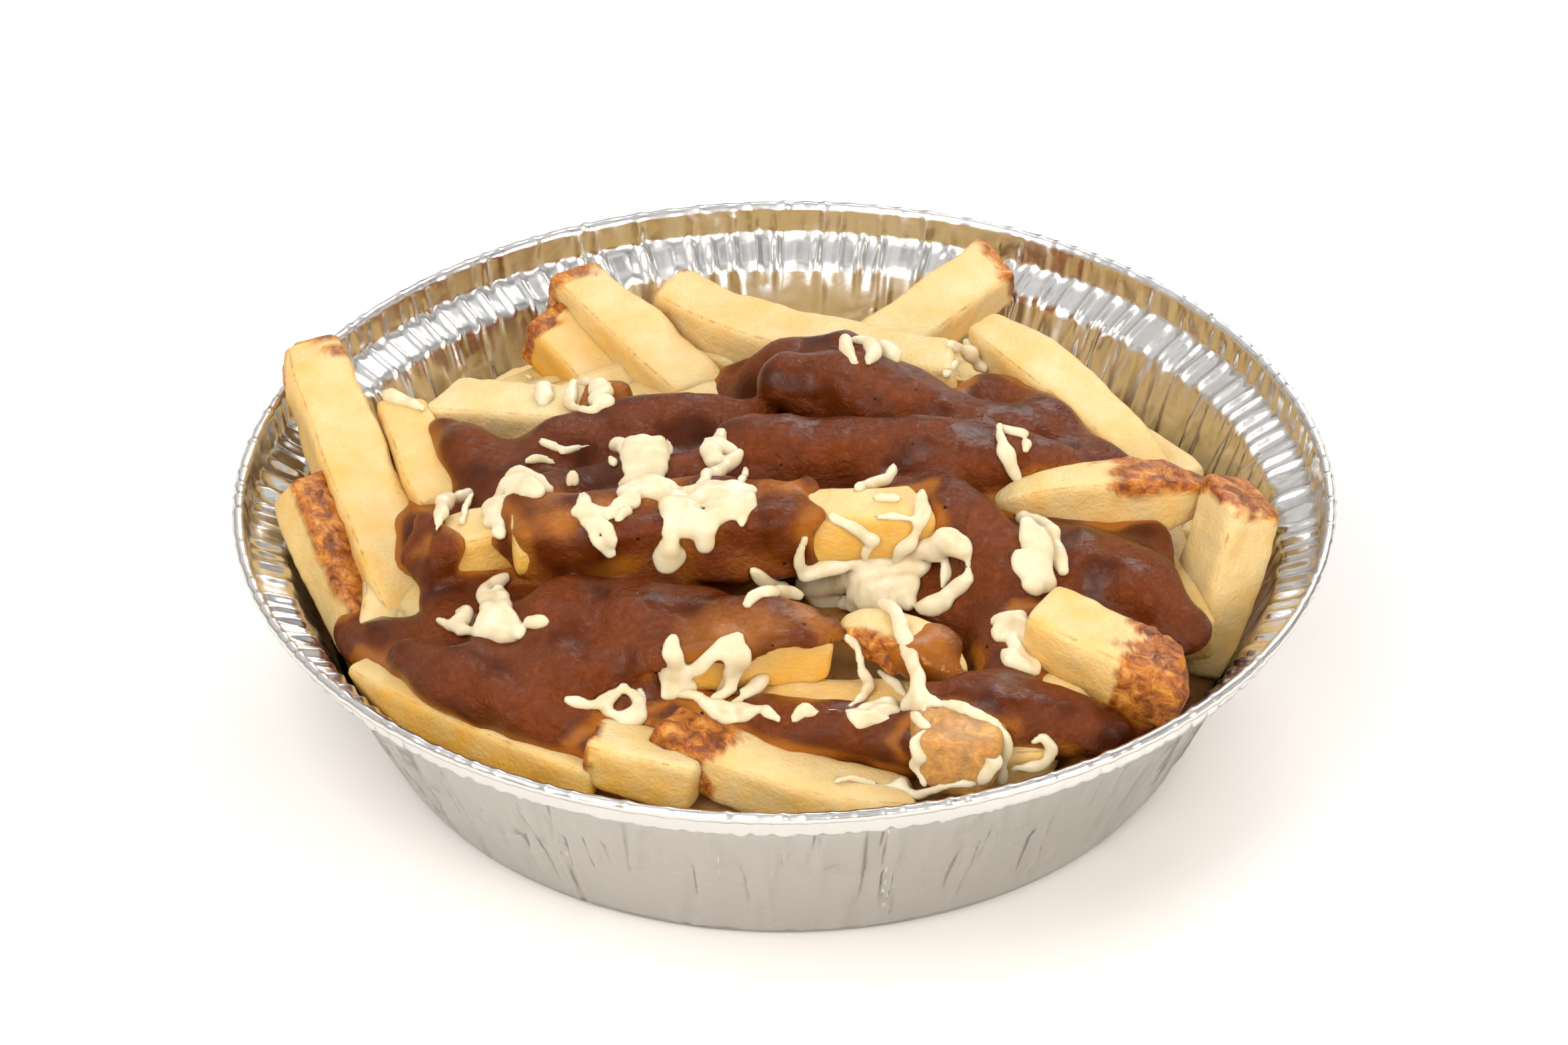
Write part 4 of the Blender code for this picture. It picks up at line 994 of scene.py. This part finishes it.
# %% Strands of each clump: points along the strand and its radius
# Places in mm, found by another script that laid picks from the photograph on the fries and gravy
CHEESE = {
    "cheese_back_loop": [
        ([(-35.5, 21, 49), (-36, 17.5, 48.5), (-35.5, 13.5, 49), (-32.5, 11, 50), (-31, 12.5, 50)], 1.03),
        ([(-35.5, 27, 45), (-34, 25, 46), (-32, 21, 49), (-29.5, 20, 49)], 0.86),
        ([(-31.5, 19, 49.5), (-30.5, 17.5, 49.5), (-30, 16, 50)], 2.16),
        ([(-32, 15, 49.5), (-29.5, 12.5, 50.5)], 1.3),
        ([(-40.5, 22, 47.5), (-40.5, 20, 47.5), (-40.5, 17.5, 47.5)], 1.4),
        ([(-44.5, 47.5, 33), (-43.5, 47, 33)], 0.76),
    ],
    "cheese_centre_ribs": [
        ([(-25, -4, 54), (-25.5, -7.5, 53), (-25.5, -13, 51.5)], 1.55),
        ([(-24, -5, 54), (-24, -9, 53), (-24, -13, 51.5)], 1.26),
        ([(-23, -5.5, 55), (-23, -10, 53), (-23, -13, 52)], 1.55),
        ([(-21.5, -4.5, 54), (-21.5, -8.5, 53), (-21.5, -12.5, 52)], 1.26),
        ([(-20.5, -5, 54.5), (-21, -8.5, 53.5), (-20.5, -12, 52.5)], 1.49),
        ([(-19.5, -3, 53), (-19, -6, 53)], 1.03),
        ([(-28.5, 1.5, 49), (-27, -0.5, 50.5), (-26.5, -4.5, 51.5)], 1.15),
        ([(-29, -5, 51.5), (-28, -8, 51.5)], 0.75),
        ([(-26.5, -13, 51), (-24, -13, 51.5), (-21, -12.5, 52)], 1.26),
    ],
    "cheese_centre_right": [
        ([(-10.5, -0.5, 53), (-11.5, -4, 52.5), (-12, -8, 52.5)], 1.4),
        ([(-13, -3.5, 53.5), (-11.5, -7.5, 52.5), (-10, -7.5, 52)], 1.51),
        ([(-7.5, -7, 53), (-9.5, -10, 53), (-11.5, -15, 54.5), (-14, -20.5, 56)], 1.19),
        ([(-11, -3.5, 52.5), (-8, -5, 52)], 1.3),
        ([(-13, -16, 56), (-13, -19, 56)], 1.08),
        ([(-6.5, -12, 54), (-6.5, -15, 54.5), (-7.5, -19, 55.5), (-8.5, -20, 55.5)], 0.65),
    ],
    "cheese_draped_net": [
        ([(-26.5, -21.5, 55.5), (-23.5, -20, 55.5), (-20, -20, 55.5), (-16, -21.5, 55.5)], 1.56),
        ([(-16, -21.5, 55.5), (-11.5, -20.5, 55.5), (-8, -21, 55.5), (-5, -21, 55.5)], 1.44),
        ([(-25.5, -23, 55.5), (-27.5, -26, 55.5), (-29, -28.5, 55.5),
          (-30.5, -28, 55.5), (-32.5, -26, 55.5), (-33, -23, 55.5)], 1.44),
        ([(-34, -27, 55), (-31.5, -29.5, 55.5), (-29, -31, 55), (-28, -32, 53), (-28, -32, 51)], 1.08),
        ([(-32, -30, 55), (-30.5, -32, 52.5), (-29, -32, 50.5), (-28, -32, 50.5)], 0.96),
        ([(-23, -21, 55.5), (-25, -22.5, 55.5), (-25, -25, 55.5)], 1.44),
        ([(-19.5, -22, 55), (-18.5, -25.5, 55), (-18, -29.5, 55)], 1.92),
        ([(-17, -23, 55), (-16.5, -26.5, 55), (-16, -30.5, 54.5)], 1.8),
        ([(-18.5, -28, 55), (-18.5, -31, 52.5), (-19, -30.5, 48.5)], 1.8),
        ([(-19, -30.5, 49), (-19, -30.5, 47.5)], 2.16),
        ([(-22, -19.5, 55.5), (-20.5, -21.5, 55.5)], 1.2),
        ([(-11.5, -22, 55.5), (-11, -25.5, 55.5), (-12.5, -30, 55), (-13, -30.5, 51.5)], 1.56),
        ([(-15.5, -30, 55), (-13.5, -30.5, 53), (-13, -30.5, 51)], 1.56),
        ([(-9.5, -23, 55.5), (-9, -26, 55.5), (-11.5, -29.5, 55)], 1.56),
        ([(-7.5, -22.5, 55.5), (-7, -26, 55.5), (-7, -30, 55)], 1.32),
        ([(-5.5, -24, 56), (-6, -27.5, 56)], 1.08),
        ([(-15, -30, 55), (-16, -30.5, 54)], 1.44),
        ([(-20.5, -21.5, 55), (-15.5, -24, 55), (-10.5, -22.5, 55), (-6, -22.5, 55)], 1.92),
        ([(-17.5, -26, 55), (-15, -29, 55), (-12, -27.5, 55)], 1.8),
        ([(-11.5, -26, 55.5), (-9, -27, 55.5), (-7.5, -26, 55.5)], 1.68),
        ([(-15.5, -25.5, 55.5), (-15, -29.5, 55.5)], 1.68),
        ([(-25.5, -26.5, 55.5), (-27, -29.5, 56)], 1.2),
    ],
    "cheese_left_web": [
        ([(-45.5, -8.5, 49.5), (-42.5, -10.5, 51), (-39, -14, 51)], 1.75),
        ([(-46, -15, 51.5), (-44, -16.5, 53), (-41, -20, 55)], 2),
        ([(-46.5, -15, 50.5), (-47.5, -18, 50), (-48.5, -22, 50)], 1.62),
        ([(-46.5, -19, 51.5), (-47, -22.5, 50.5), (-46.5, -26.5, 50.5)], 1.5),
        ([(-47.5, -15, 49), (-48.5, -18, 49.5), (-49, -17.5, 49.5)], 1),
        ([(-51.5, -11.5, 48.5), (-52.5, -14.5, 48.5), (-53, -20, 48.5)], 0.75),
        ([(-57, -24, 50), (-56.5, -18.5, 49.5), (-56, -13, 48), (-54, -9, 46), (-52.5, -6.5, 45)], 1.19),
    ],
    "cheese_lower_left_web": [
        ([(-46, -28, 43), (-48.5, -31.5, 43), (-49, -35.5, 44), (-48, -41, 45), (-47, -43, 44)], 1.32),
        ([(-46.5, -34.5, 45), (-46, -37.5, 45), (-45.5, -41.5, 45.5),
          (-44, -44, 44.5), (-43, -46, 44.5)], 1.43),
        ([(-53.5, -35, 41), (-52, -36, 41.5), (-52, -38.5, 41.5)], 1.32),
        ([(-56.5, -36, 40), (-54.5, -38, 40.5), (-52.5, -40.5, 41.5), (-49.5, -43.5, 43)], 0.88),
        ([(-49.5, -43, 43.5), (-47, -43.5, 44), (-44.5, -45, 43.5)], 1.98),
        ([(-41.5, -45.5, 46.5), (-39, -46, 47)], 1.32),
        ([(-47.5, -41, 45), (-46.5, -43.5, 44)], 1.54),
    ],
    "cheese_front_web": [
        ([(-19, -53.5, 47.5), (-18.5, -55, 46.5), (-18, -54.5, 43.5),
          (-19, -54.5, 41.5), (-19.5, -56, 39.5)], 0.92),
        ([(-18, -54, 42.5), (-15.5, -54, 42.5), (-13.5, -54.5, 44),
          (-11.5, -54.5, 46.5), (-9.5, -53.5, 48), (-7.5, -52.5, 48.5)], 1.24),
        ([(-8, -53.5, 48), (-7, -54.5, 46), (-7.5, -53.5, 43),
          (-8.5, -54, 40.5), (-9.5, -54.5, 39), (-11.5, -56, 38.5)], 1.24),
        ([(-10, -54, 47), (-9, -54.5, 44.5), (-9.5, -53, 40.5), (-10.5, -52.5, 37.5)], 0.86),
        ([(-17, -54, 42.5), (-16.5, -54, 40.5), (-15.5, -53.5, 39)], 1.62),
        ([(-16, -53.5, 39), (-17.5, -55, 39.5), (-19, -55.5, 39.5)], 1.08),
        ([(-21, -54.5, 46), (-20, -54, 43), (-19.5, -53.5, 40.5)], 0.65),
        ([(-3, -51.5, 39.5), (-5, -53.5, 39), (-7, -56, 39), (-8.5, -57.5, 38.5)], 1.08),
        ([(-18, -52, 48), (-17.5, -54.5, 46.5), (-16.5, -54, 43.5)], 0.76),
        ([(-23.5, -55, 40), (-23, -56, 38.5), (-23, -57.5, 37.5)], 0.86),
    ],
    "cheese_front_ridge": [
        ([(-18, -55.5, 39.5), (-15.5, -55.5, 39), (-13.5, -56, 38.5),
          (-11.5, -58, 37.5), (-9, -59.5, 37), (-6.5, -60, 37.5)], 0.97),
        ([(-12, -57, 38), (-9.5, -57.5, 38), (-7, -58.5, 38.5), (-6, -59.5, 38.5)], 0.97),
        ([(-6, -59.5, 38.5), (-3.5, -59.5, 39), (-2.5, -60.5, 39), (-1, -61.5, 38.5)], 0.97),
        ([(1.5, -61.5, 38.5), (3, -60.5, 39.5), (4.5, -61, 39.5)], 1.24),
        ([(4.5, -60.5, 39), (7, -60.5, 39.5), (9.5, -60.5, 39.5)], 0.54),
        ([(11, -61, 39), (13.5, -58.5, 38.5), (16.5, -57, 38), (19, -56, 37.5)], 1.19),
        ([(11.5, -62, 39), (15, -60, 38), (18, -58, 36.5)], 1.73),
        ([(12, -63, 38), (14, -62, 38), (17, -61.5, 37.5)], 1.3),
    ],
    "cheese_middle_sheet": [
        ([(3.5, -29, 44), (8.5, -26, 44.5), (12.5, -24.5, 44.5), (17, -24, 44), (20, -24.5, 44)], 1.72),
        ([(3.5, -21.5, 37), (8, -23.5, 39), (13.5, -25.5, 42), (19.5, -26.5, 43)], 2.07),
        ([(4, -20, 34.5), (7, -23, 35), (11.5, -23, 35.5)], 1.72),
        ([(12, -27, 38.5), (16, -28.5, 41), (20.5, -29, 42.5)], 2.07),
        ([(11, -27.5, 36.5), (16, -29, 38.5), (20.5, -32, 41)], 1.26),
        ([(9.5, -25.5, 36), (13.5, -27.5, 38), (18, -30.5, 40)], 1.49),
        ([(20.5, -24.5, 45), (23.5, -26, 47.5), (26, -27, 50), (28.5, -28.5, 50.5)], 1.95),
        ([(24, -26.5, 46), (27, -28, 48.5), (29.5, -30, 50)], 1.72),
        ([(21, -25, 43.5), (20.5, -28.5, 42), (20.5, -32, 40.5)], 1.03),
        ([(23, -24.5, 44), (22.5, -25.5, 43.5)], 1.26),
        ([(26.5, -27, 46), (26.5, -28.5, 44), (26, -30.5, 43)], 1.03),
        ([(30, -30, 49), (30, -31.5, 46)], 0.69),
        ([(22.5, -33.5, 41), (25.5, -33, 42), (28, -32, 43.5), (29.5, -32, 45.5)], 1.61),
        ([(23.5, -34, 40.5), (26.5, -34, 41.5)], 1.26),
        ([(3.5, -28.5, 51), (2.5, -29, 48.5), (2.5, -29, 46), (3.5, -28.5, 44)], 0.86),
        ([(-6, -43.5, 48.5), (-4, -40.5, 48.5), (0, -35.5, 45.5), (2.5, -34, 43.5)], 1.03),
        ([(-5, -30.5, 46), (-3, -29.5, 43), (-0.5, -26.5, 40), (1.5, -25, 37.5)], 1.15),
        ([(-3, -40.5, 48.5), (-1, -38.5, 47.5)], 1.15),
    ],
    "cheese_long_shred": [
        ([(16, -39, 45.5), (18, -42, 46), (19, -46.5, 45.5),
          (20.5, -52.5, 43.5), (21.5, -56, 42.5), (22, -59.5, 42)], 1.3),
        ([(19.5, -58, 39.5), (21.5, -59.5, 41), (23.5, -60.5, 41.5)], 1.19),
        ([(19.5, -58.5, 38.5), (21.5, -60.5, 40), (22.5, -63.5, 41.5)], 0.86),
        ([(24, -61, 41.5), (26, -62, 41.5), (29, -64, 42), (32, -65.5, 41.5),
          (34.5, -67, 40.5), (35.5, -67, 37), (35, -67.5, 34), (35, -67.5, 30.5)], 1.13),
        ([(34, -71.5, 37.5), (32.5, -72.5, 36.5), (31.5, -73, 34.5)], 1.3),
        ([(32, -72.5, 39), (34, -71.5, 37)], 0.86),
        ([(20.5, -63.5, 41), (21.5, -66, 41.5), (23, -68, 41.5)], 1.19),
        ([(15.5, -47, 37.5), (17.5, -50, 37.5), (19.5, -53.5, 37.5)], 0.86),
    ],
    "cheese_hanging_strand": [
        ([(10, -45.5, 43.5), (12, -46.5, 41.5), (12.5, -49, 39.5),
          (13.5, -52, 38.5), (12.5, -55.5, 38.5), (10.5, -59.5, 39.5)], 0.92),
    ],
    "cheese_edge_strand": [
        ([(8, -70.5, 32.5), (10.5, -69.5, 32.5), (14, -69.5, 31.5), (18.5, -69.5, 31)], 0.6),
        ([(18.5, -69.5, 31), (21.5, -72, 31), (25, -73.5, 33.5), (28.5, -74, 34.5), (31, -73, 34)], 0.72),
        ([(19, -68, 31), (19, -69.5, 31)], 0.72),
    ],
    "cheese_chunk_shred": [
        ([(22.5, -69, 41), (21, -70, 39.5), (22, -71, 38.5)], 1.3),
        ([(21, -70, 36), (21.5, -71, 35), (22.5, -72, 33.5)], 1.03),
        ([(22, -71, 38.5), (21.5, -70.5, 36.5)], 0.86),
    ],
    "cheese_end_strand_low": [
        ([(8, -26, 53.5), (11, -26.5, 52), (13.5, -26.5, 50)], 1.08),
        ([(15, -26.5, 49.5), (13.5, -26.5, 47.5), (13, -26.5, 45.5)], 1.08),
        ([(13.5, -26.5, 50), (15, -26.5, 49.5)], 0.86),
    ],
    "cheese_end_strand_tall": [
        ([(15, -25.5, 53.5), (18, -25.5, 53.5), (21, -25.5, 53)], 0.7),
        ([(22.5, -20.5, 55), (22.5, -24.5, 53.5), (21.5, -26, 50.5),
          (19.5, -26, 47.5), (18, -25, 44)], 1.08),
        ([(22.5, -22.5, 54), (22.5, -25, 53)], 0.86),
    ],
    "cheese_end_strand_top": [
        ([(12, -18, 54), (14.5, -14.5, 52.5), (17, -12, 51.5), (18, -8.5, 52)], 1.08),
        ([(15, -20, 53.5), (18.5, -21.5, 54)], 0.86),
    ],
    "cheese_right_strips": [
        ([(39.5, -24.5, 51.5), (40.5, -29.5, 49), (41, -35, 46)], 1.62),
        ([(43.5, -21.5, 48.5), (44, -25, 47.5), (45.5, -30, 46)], 1.3),
        ([(39, -13.5, 45), (41, -15.5, 46), (43.5, -18.5, 47)], 1.19),
        ([(38, -31, 49.5), (39.5, -33, 47.5)], 1.4),
        ([(42, -26.5, 50.5), (42.5, -33, 46)], 1.62),
        ([(40, -35, 46.5), (43.5, -33, 45)], 1.4),
        ([(41, -25, 50), (42, -29.5, 48)], 1.4),
    ],
    "cheese_right_stack": [
        ([(34, -42, 44), (36, -42, 44.5), (38.5, -41, 44.5)], 1.19),
        ([(34.5, -44, 43.5), (36.5, -43.5, 44), (38.5, -43, 44)], 1.4),
        ([(34.5, -45, 43), (36, -45, 43)], 0.86),
        ([(38.5, -41.5, 44), (39, -45.5, 43), (40, -48.5, 41), (41, -51, 40.5)], 0.86),
        ([(35.5, -48.5, 42.5), (37, -51, 42.5), (40, -51.5, 41)], 1.3),
        ([(37, -46, 43), (38, -48.5, 42.5), (39.5, -50, 41.5)], 1.08),
        ([(36.5, -49.5, 42.5), (38, -51, 42)], 1.3),
    ],
    "cheese_back_blobs": [
        ([(10, 24.5, 55.5), (10.5, 21, 55.5), (11.5, 17, 55.5)], 1.4),
        ([(14, 24.5, 55), (15, 21.5, 55), (14, 17, 55.5)], 1.3),
        ([(11.5, 27, 53.5), (14, 28.5, 52.5)], 0.97),
        ([(16.5, 25.5, 53), (18.5, 22.5, 53)], 1.51),
        ([(28, 32, 49.5), (31, 35.5, 45.5), (32.5, 37, 42.5)], 1.08),
        ([(31, 42, 43.5), (32, 39, 43.5)], 0.86),
        ([(32.5, 38, 42.5), (34, 35, 42.5)], 1.08),
        ([(29, 27.5, 49), (27, 24, 48.5)], 0.86),
    ],
    "cheese_right_curl": [
        ([(40, -65.5, 37), (41.5, -65, 37.5), (43, -65.5, 35.5),
          (42, -66.5, 33.5), (39.5, -67.5, 33.5), (37, -67.5, 33)], 0.92),
    ],
    "cheese_left_grain": [
        ([(-67, 23.5, 45), (-65, 21, 45.5), (-61, 18.5, 45.5)], 1.3),
    ],
    "cheese_right_back": [
        ([(35.5, -0.5, 54.5), (36, -4.5, 53.5), (37, -6.5, 52), (38.5, -7, 48.5)], 1.24),
        ([(36, 0, 53.5), (38, 0, 53), (40, 0, 52.5)], 1.08),
        ([(40, -1, 52.5), (40, -4.5, 52.5)], 0.76),
    ],
    "cheese_grain_upper": [
        ([(-40.5, 3.5, 49), (-39, 2.5, 49), (-38, 2, 48.5)], 0.92),
        ([(-37, 1, 48), (-35, 2.5, 48), (-32.5, 3.5, 48)], 0.54),
    ],
    "cheese_grain_lower": [
        ([(-43, -1.5, 48), (-41, -0.5, 48), (-38.5, -1, 47.5)], 0.86),
        ([(-35.5, -11.5, 50.5), (-35, -10.5, 51), (-34.5, -11.5, 50.5)], 0.76),
    ],
    "cheese_low_web": [
        ([(-35, -59, 40.5), (-32, -59, 39.5), (-29, -57, 39), (-26, -55.5, 40.5)], 1.08),
        ([(-26, -55.5, 40.5), (-23.5, -56, 38.5), (-23.5, -58.5, 37)], 1.08),
        ([(-23.5, -58, 37.5), (-26, -59.5, 36.5)], 1.51),
        ([(-28, -56, 39.5), (-29, -57.5, 37.5), (-27, -58.5, 37)], 0.76),
    ],
}
CHEESE_STEP = 0.4
# Width in mm over which strands merge, and how many times wider than thick a strand is
WEB = 1.7
PRESSED = 1.8
# Share by which a strand thins at its ends, and by which it swells and shrinks along the way
TAPER, SWELLING = 0.35, 0.15
CHEESE_BUMPS = 0.12
CURVE_STEPS = 5

# %% A clump's surface


def spline(points, steps):
    """Points along the Catmull-Rom curve through the given ones, with the ends doubled back."""
    p = np.array(points, float)
    p = np.concatenate([[2 * p[0] - p[1]], p, [2 * p[-1] - p[-2]]])
    t = (np.arange(steps) / steps)[None, :, None]
    a, b, c, d = p[:-3, None], p[1:-2, None], p[2:-1, None], p[3:, None]
    curve = b + (c - a) * t / 2 + (2 * a - 5 * b + 4 * c - d) * t ** 2 / 2
    curve = curve + (3 * b - a - 3 * c + d) * t ** 3 / 2
    return np.concatenate([curve.reshape(-1, 3), p[-2:-1]])


def strand_distance(q, path, radius):
    """Distance to a strand that thins at its ends, from short cones that are wider than thick."""
    share = np.linspace(-1, 1, len(path))
    size = radius * (1 - TAPER * np.abs(share) ** 3) * (1 + SWELLING * waves(path, 6, 70))
    best = np.full(len(q), 1e3)
    for a, b, ra, rb in zip(path, path[1:], size, size[1:]):
        t = np.clip(((q - a) @ (b - a)) / ((b - a) @ (b - a)), 0, 1)
        off = q - a - t[:, None] * (b - a)
        off = off + (PRESSED - 1) * (off @ view_back)[:, None] * view_back
        best = np.minimum(best, np.linalg.norm(off, axis=1) - ra - (rb - ra) * t)
    return best


def cheese_surface(strands):
    """Points and quads of one clump, its strands merged over the web's width."""
    paths = [(spline(points, CURVE_STEPS), radius) for points, radius in strands]
    every = np.concatenate([path for path, _ in paths])
    field = Field(every.min(0) - 4, every.max(0) + 4, CHEESE_STEP)
    for path, radius in paths:
        field.merge(path.min(0) - radius - 2.5, path.max(0) + radius + 2.5,
                    lambda q: strand_distance(q, path, radius), WEB)
    axes = [field.low[k] + CHEESE_STEP * np.arange(field.shape[k]) for k in range(3)]
    spots = np.stack(np.meshgrid(*axes, indexing="ij"), -1)
    close = np.abs(field.value) < 2
    field.value[close] += CHEESE_BUMPS * waves(spots[close], 3.2, 71)
    return surface_net(field)


# %% [markdown]
# ### Melted mozzarella
# The cheese is cream white, soft and full of fat. Light goes well into it, so its shadows are pale
# and warm, and thin drips look darker where the gravy shows through.

# %% Cheese material


def cheese_material():
    """Half-melted mozzarella: light under the surface, an oily film, faint stretch marks of 1 mm."""
    made, tree = new_material("melted_mozzarella")
    place = add(tree, "TexCoord")
    cloud = add(tree, "TexNoise", None, {"Vector": place.outputs["Object"], "Scale": 260.0,
                                         "Detail": 3.0})
    marks = add(tree, "TexNoise", None, {"Vector": place.outputs["Object"], "Scale": 900.0,
                                         "Detail": 3.0})
    colour = add(tree, "ValToRGB", {"stops": [(0.3, linear("#D2C199")), (0.6, linear("#E2D4B6"))]},
                 {0: cloud.outputs[0]})
    relief = add(tree, "Bump", None, {"Strength": 0.3, "Distance": 0.0002,
                                      "Height": marks.outputs[0]})
    shader = add(tree, "BsdfPrincipled", None, {
        "Base Color": colour.outputs[0], "Roughness": 0.33, "Normal": relief.outputs[0],
        "Subsurface Weight": 0.5, "Subsurface Radius": (1.0, 0.75, 0.5), "Subsurface Scale": 0.002,
        "IOR": 1.45})
    add(tree, "OutputMaterial", None, {0: shader.outputs[0]})
    return made


melted = cheese_material()
for node, strands in CHEESE.items():
    points, quads = cheese_surface(strands)
    new_piece(node.replace("cheese_", "") + "_cheese", points, [quads], melted, [node])
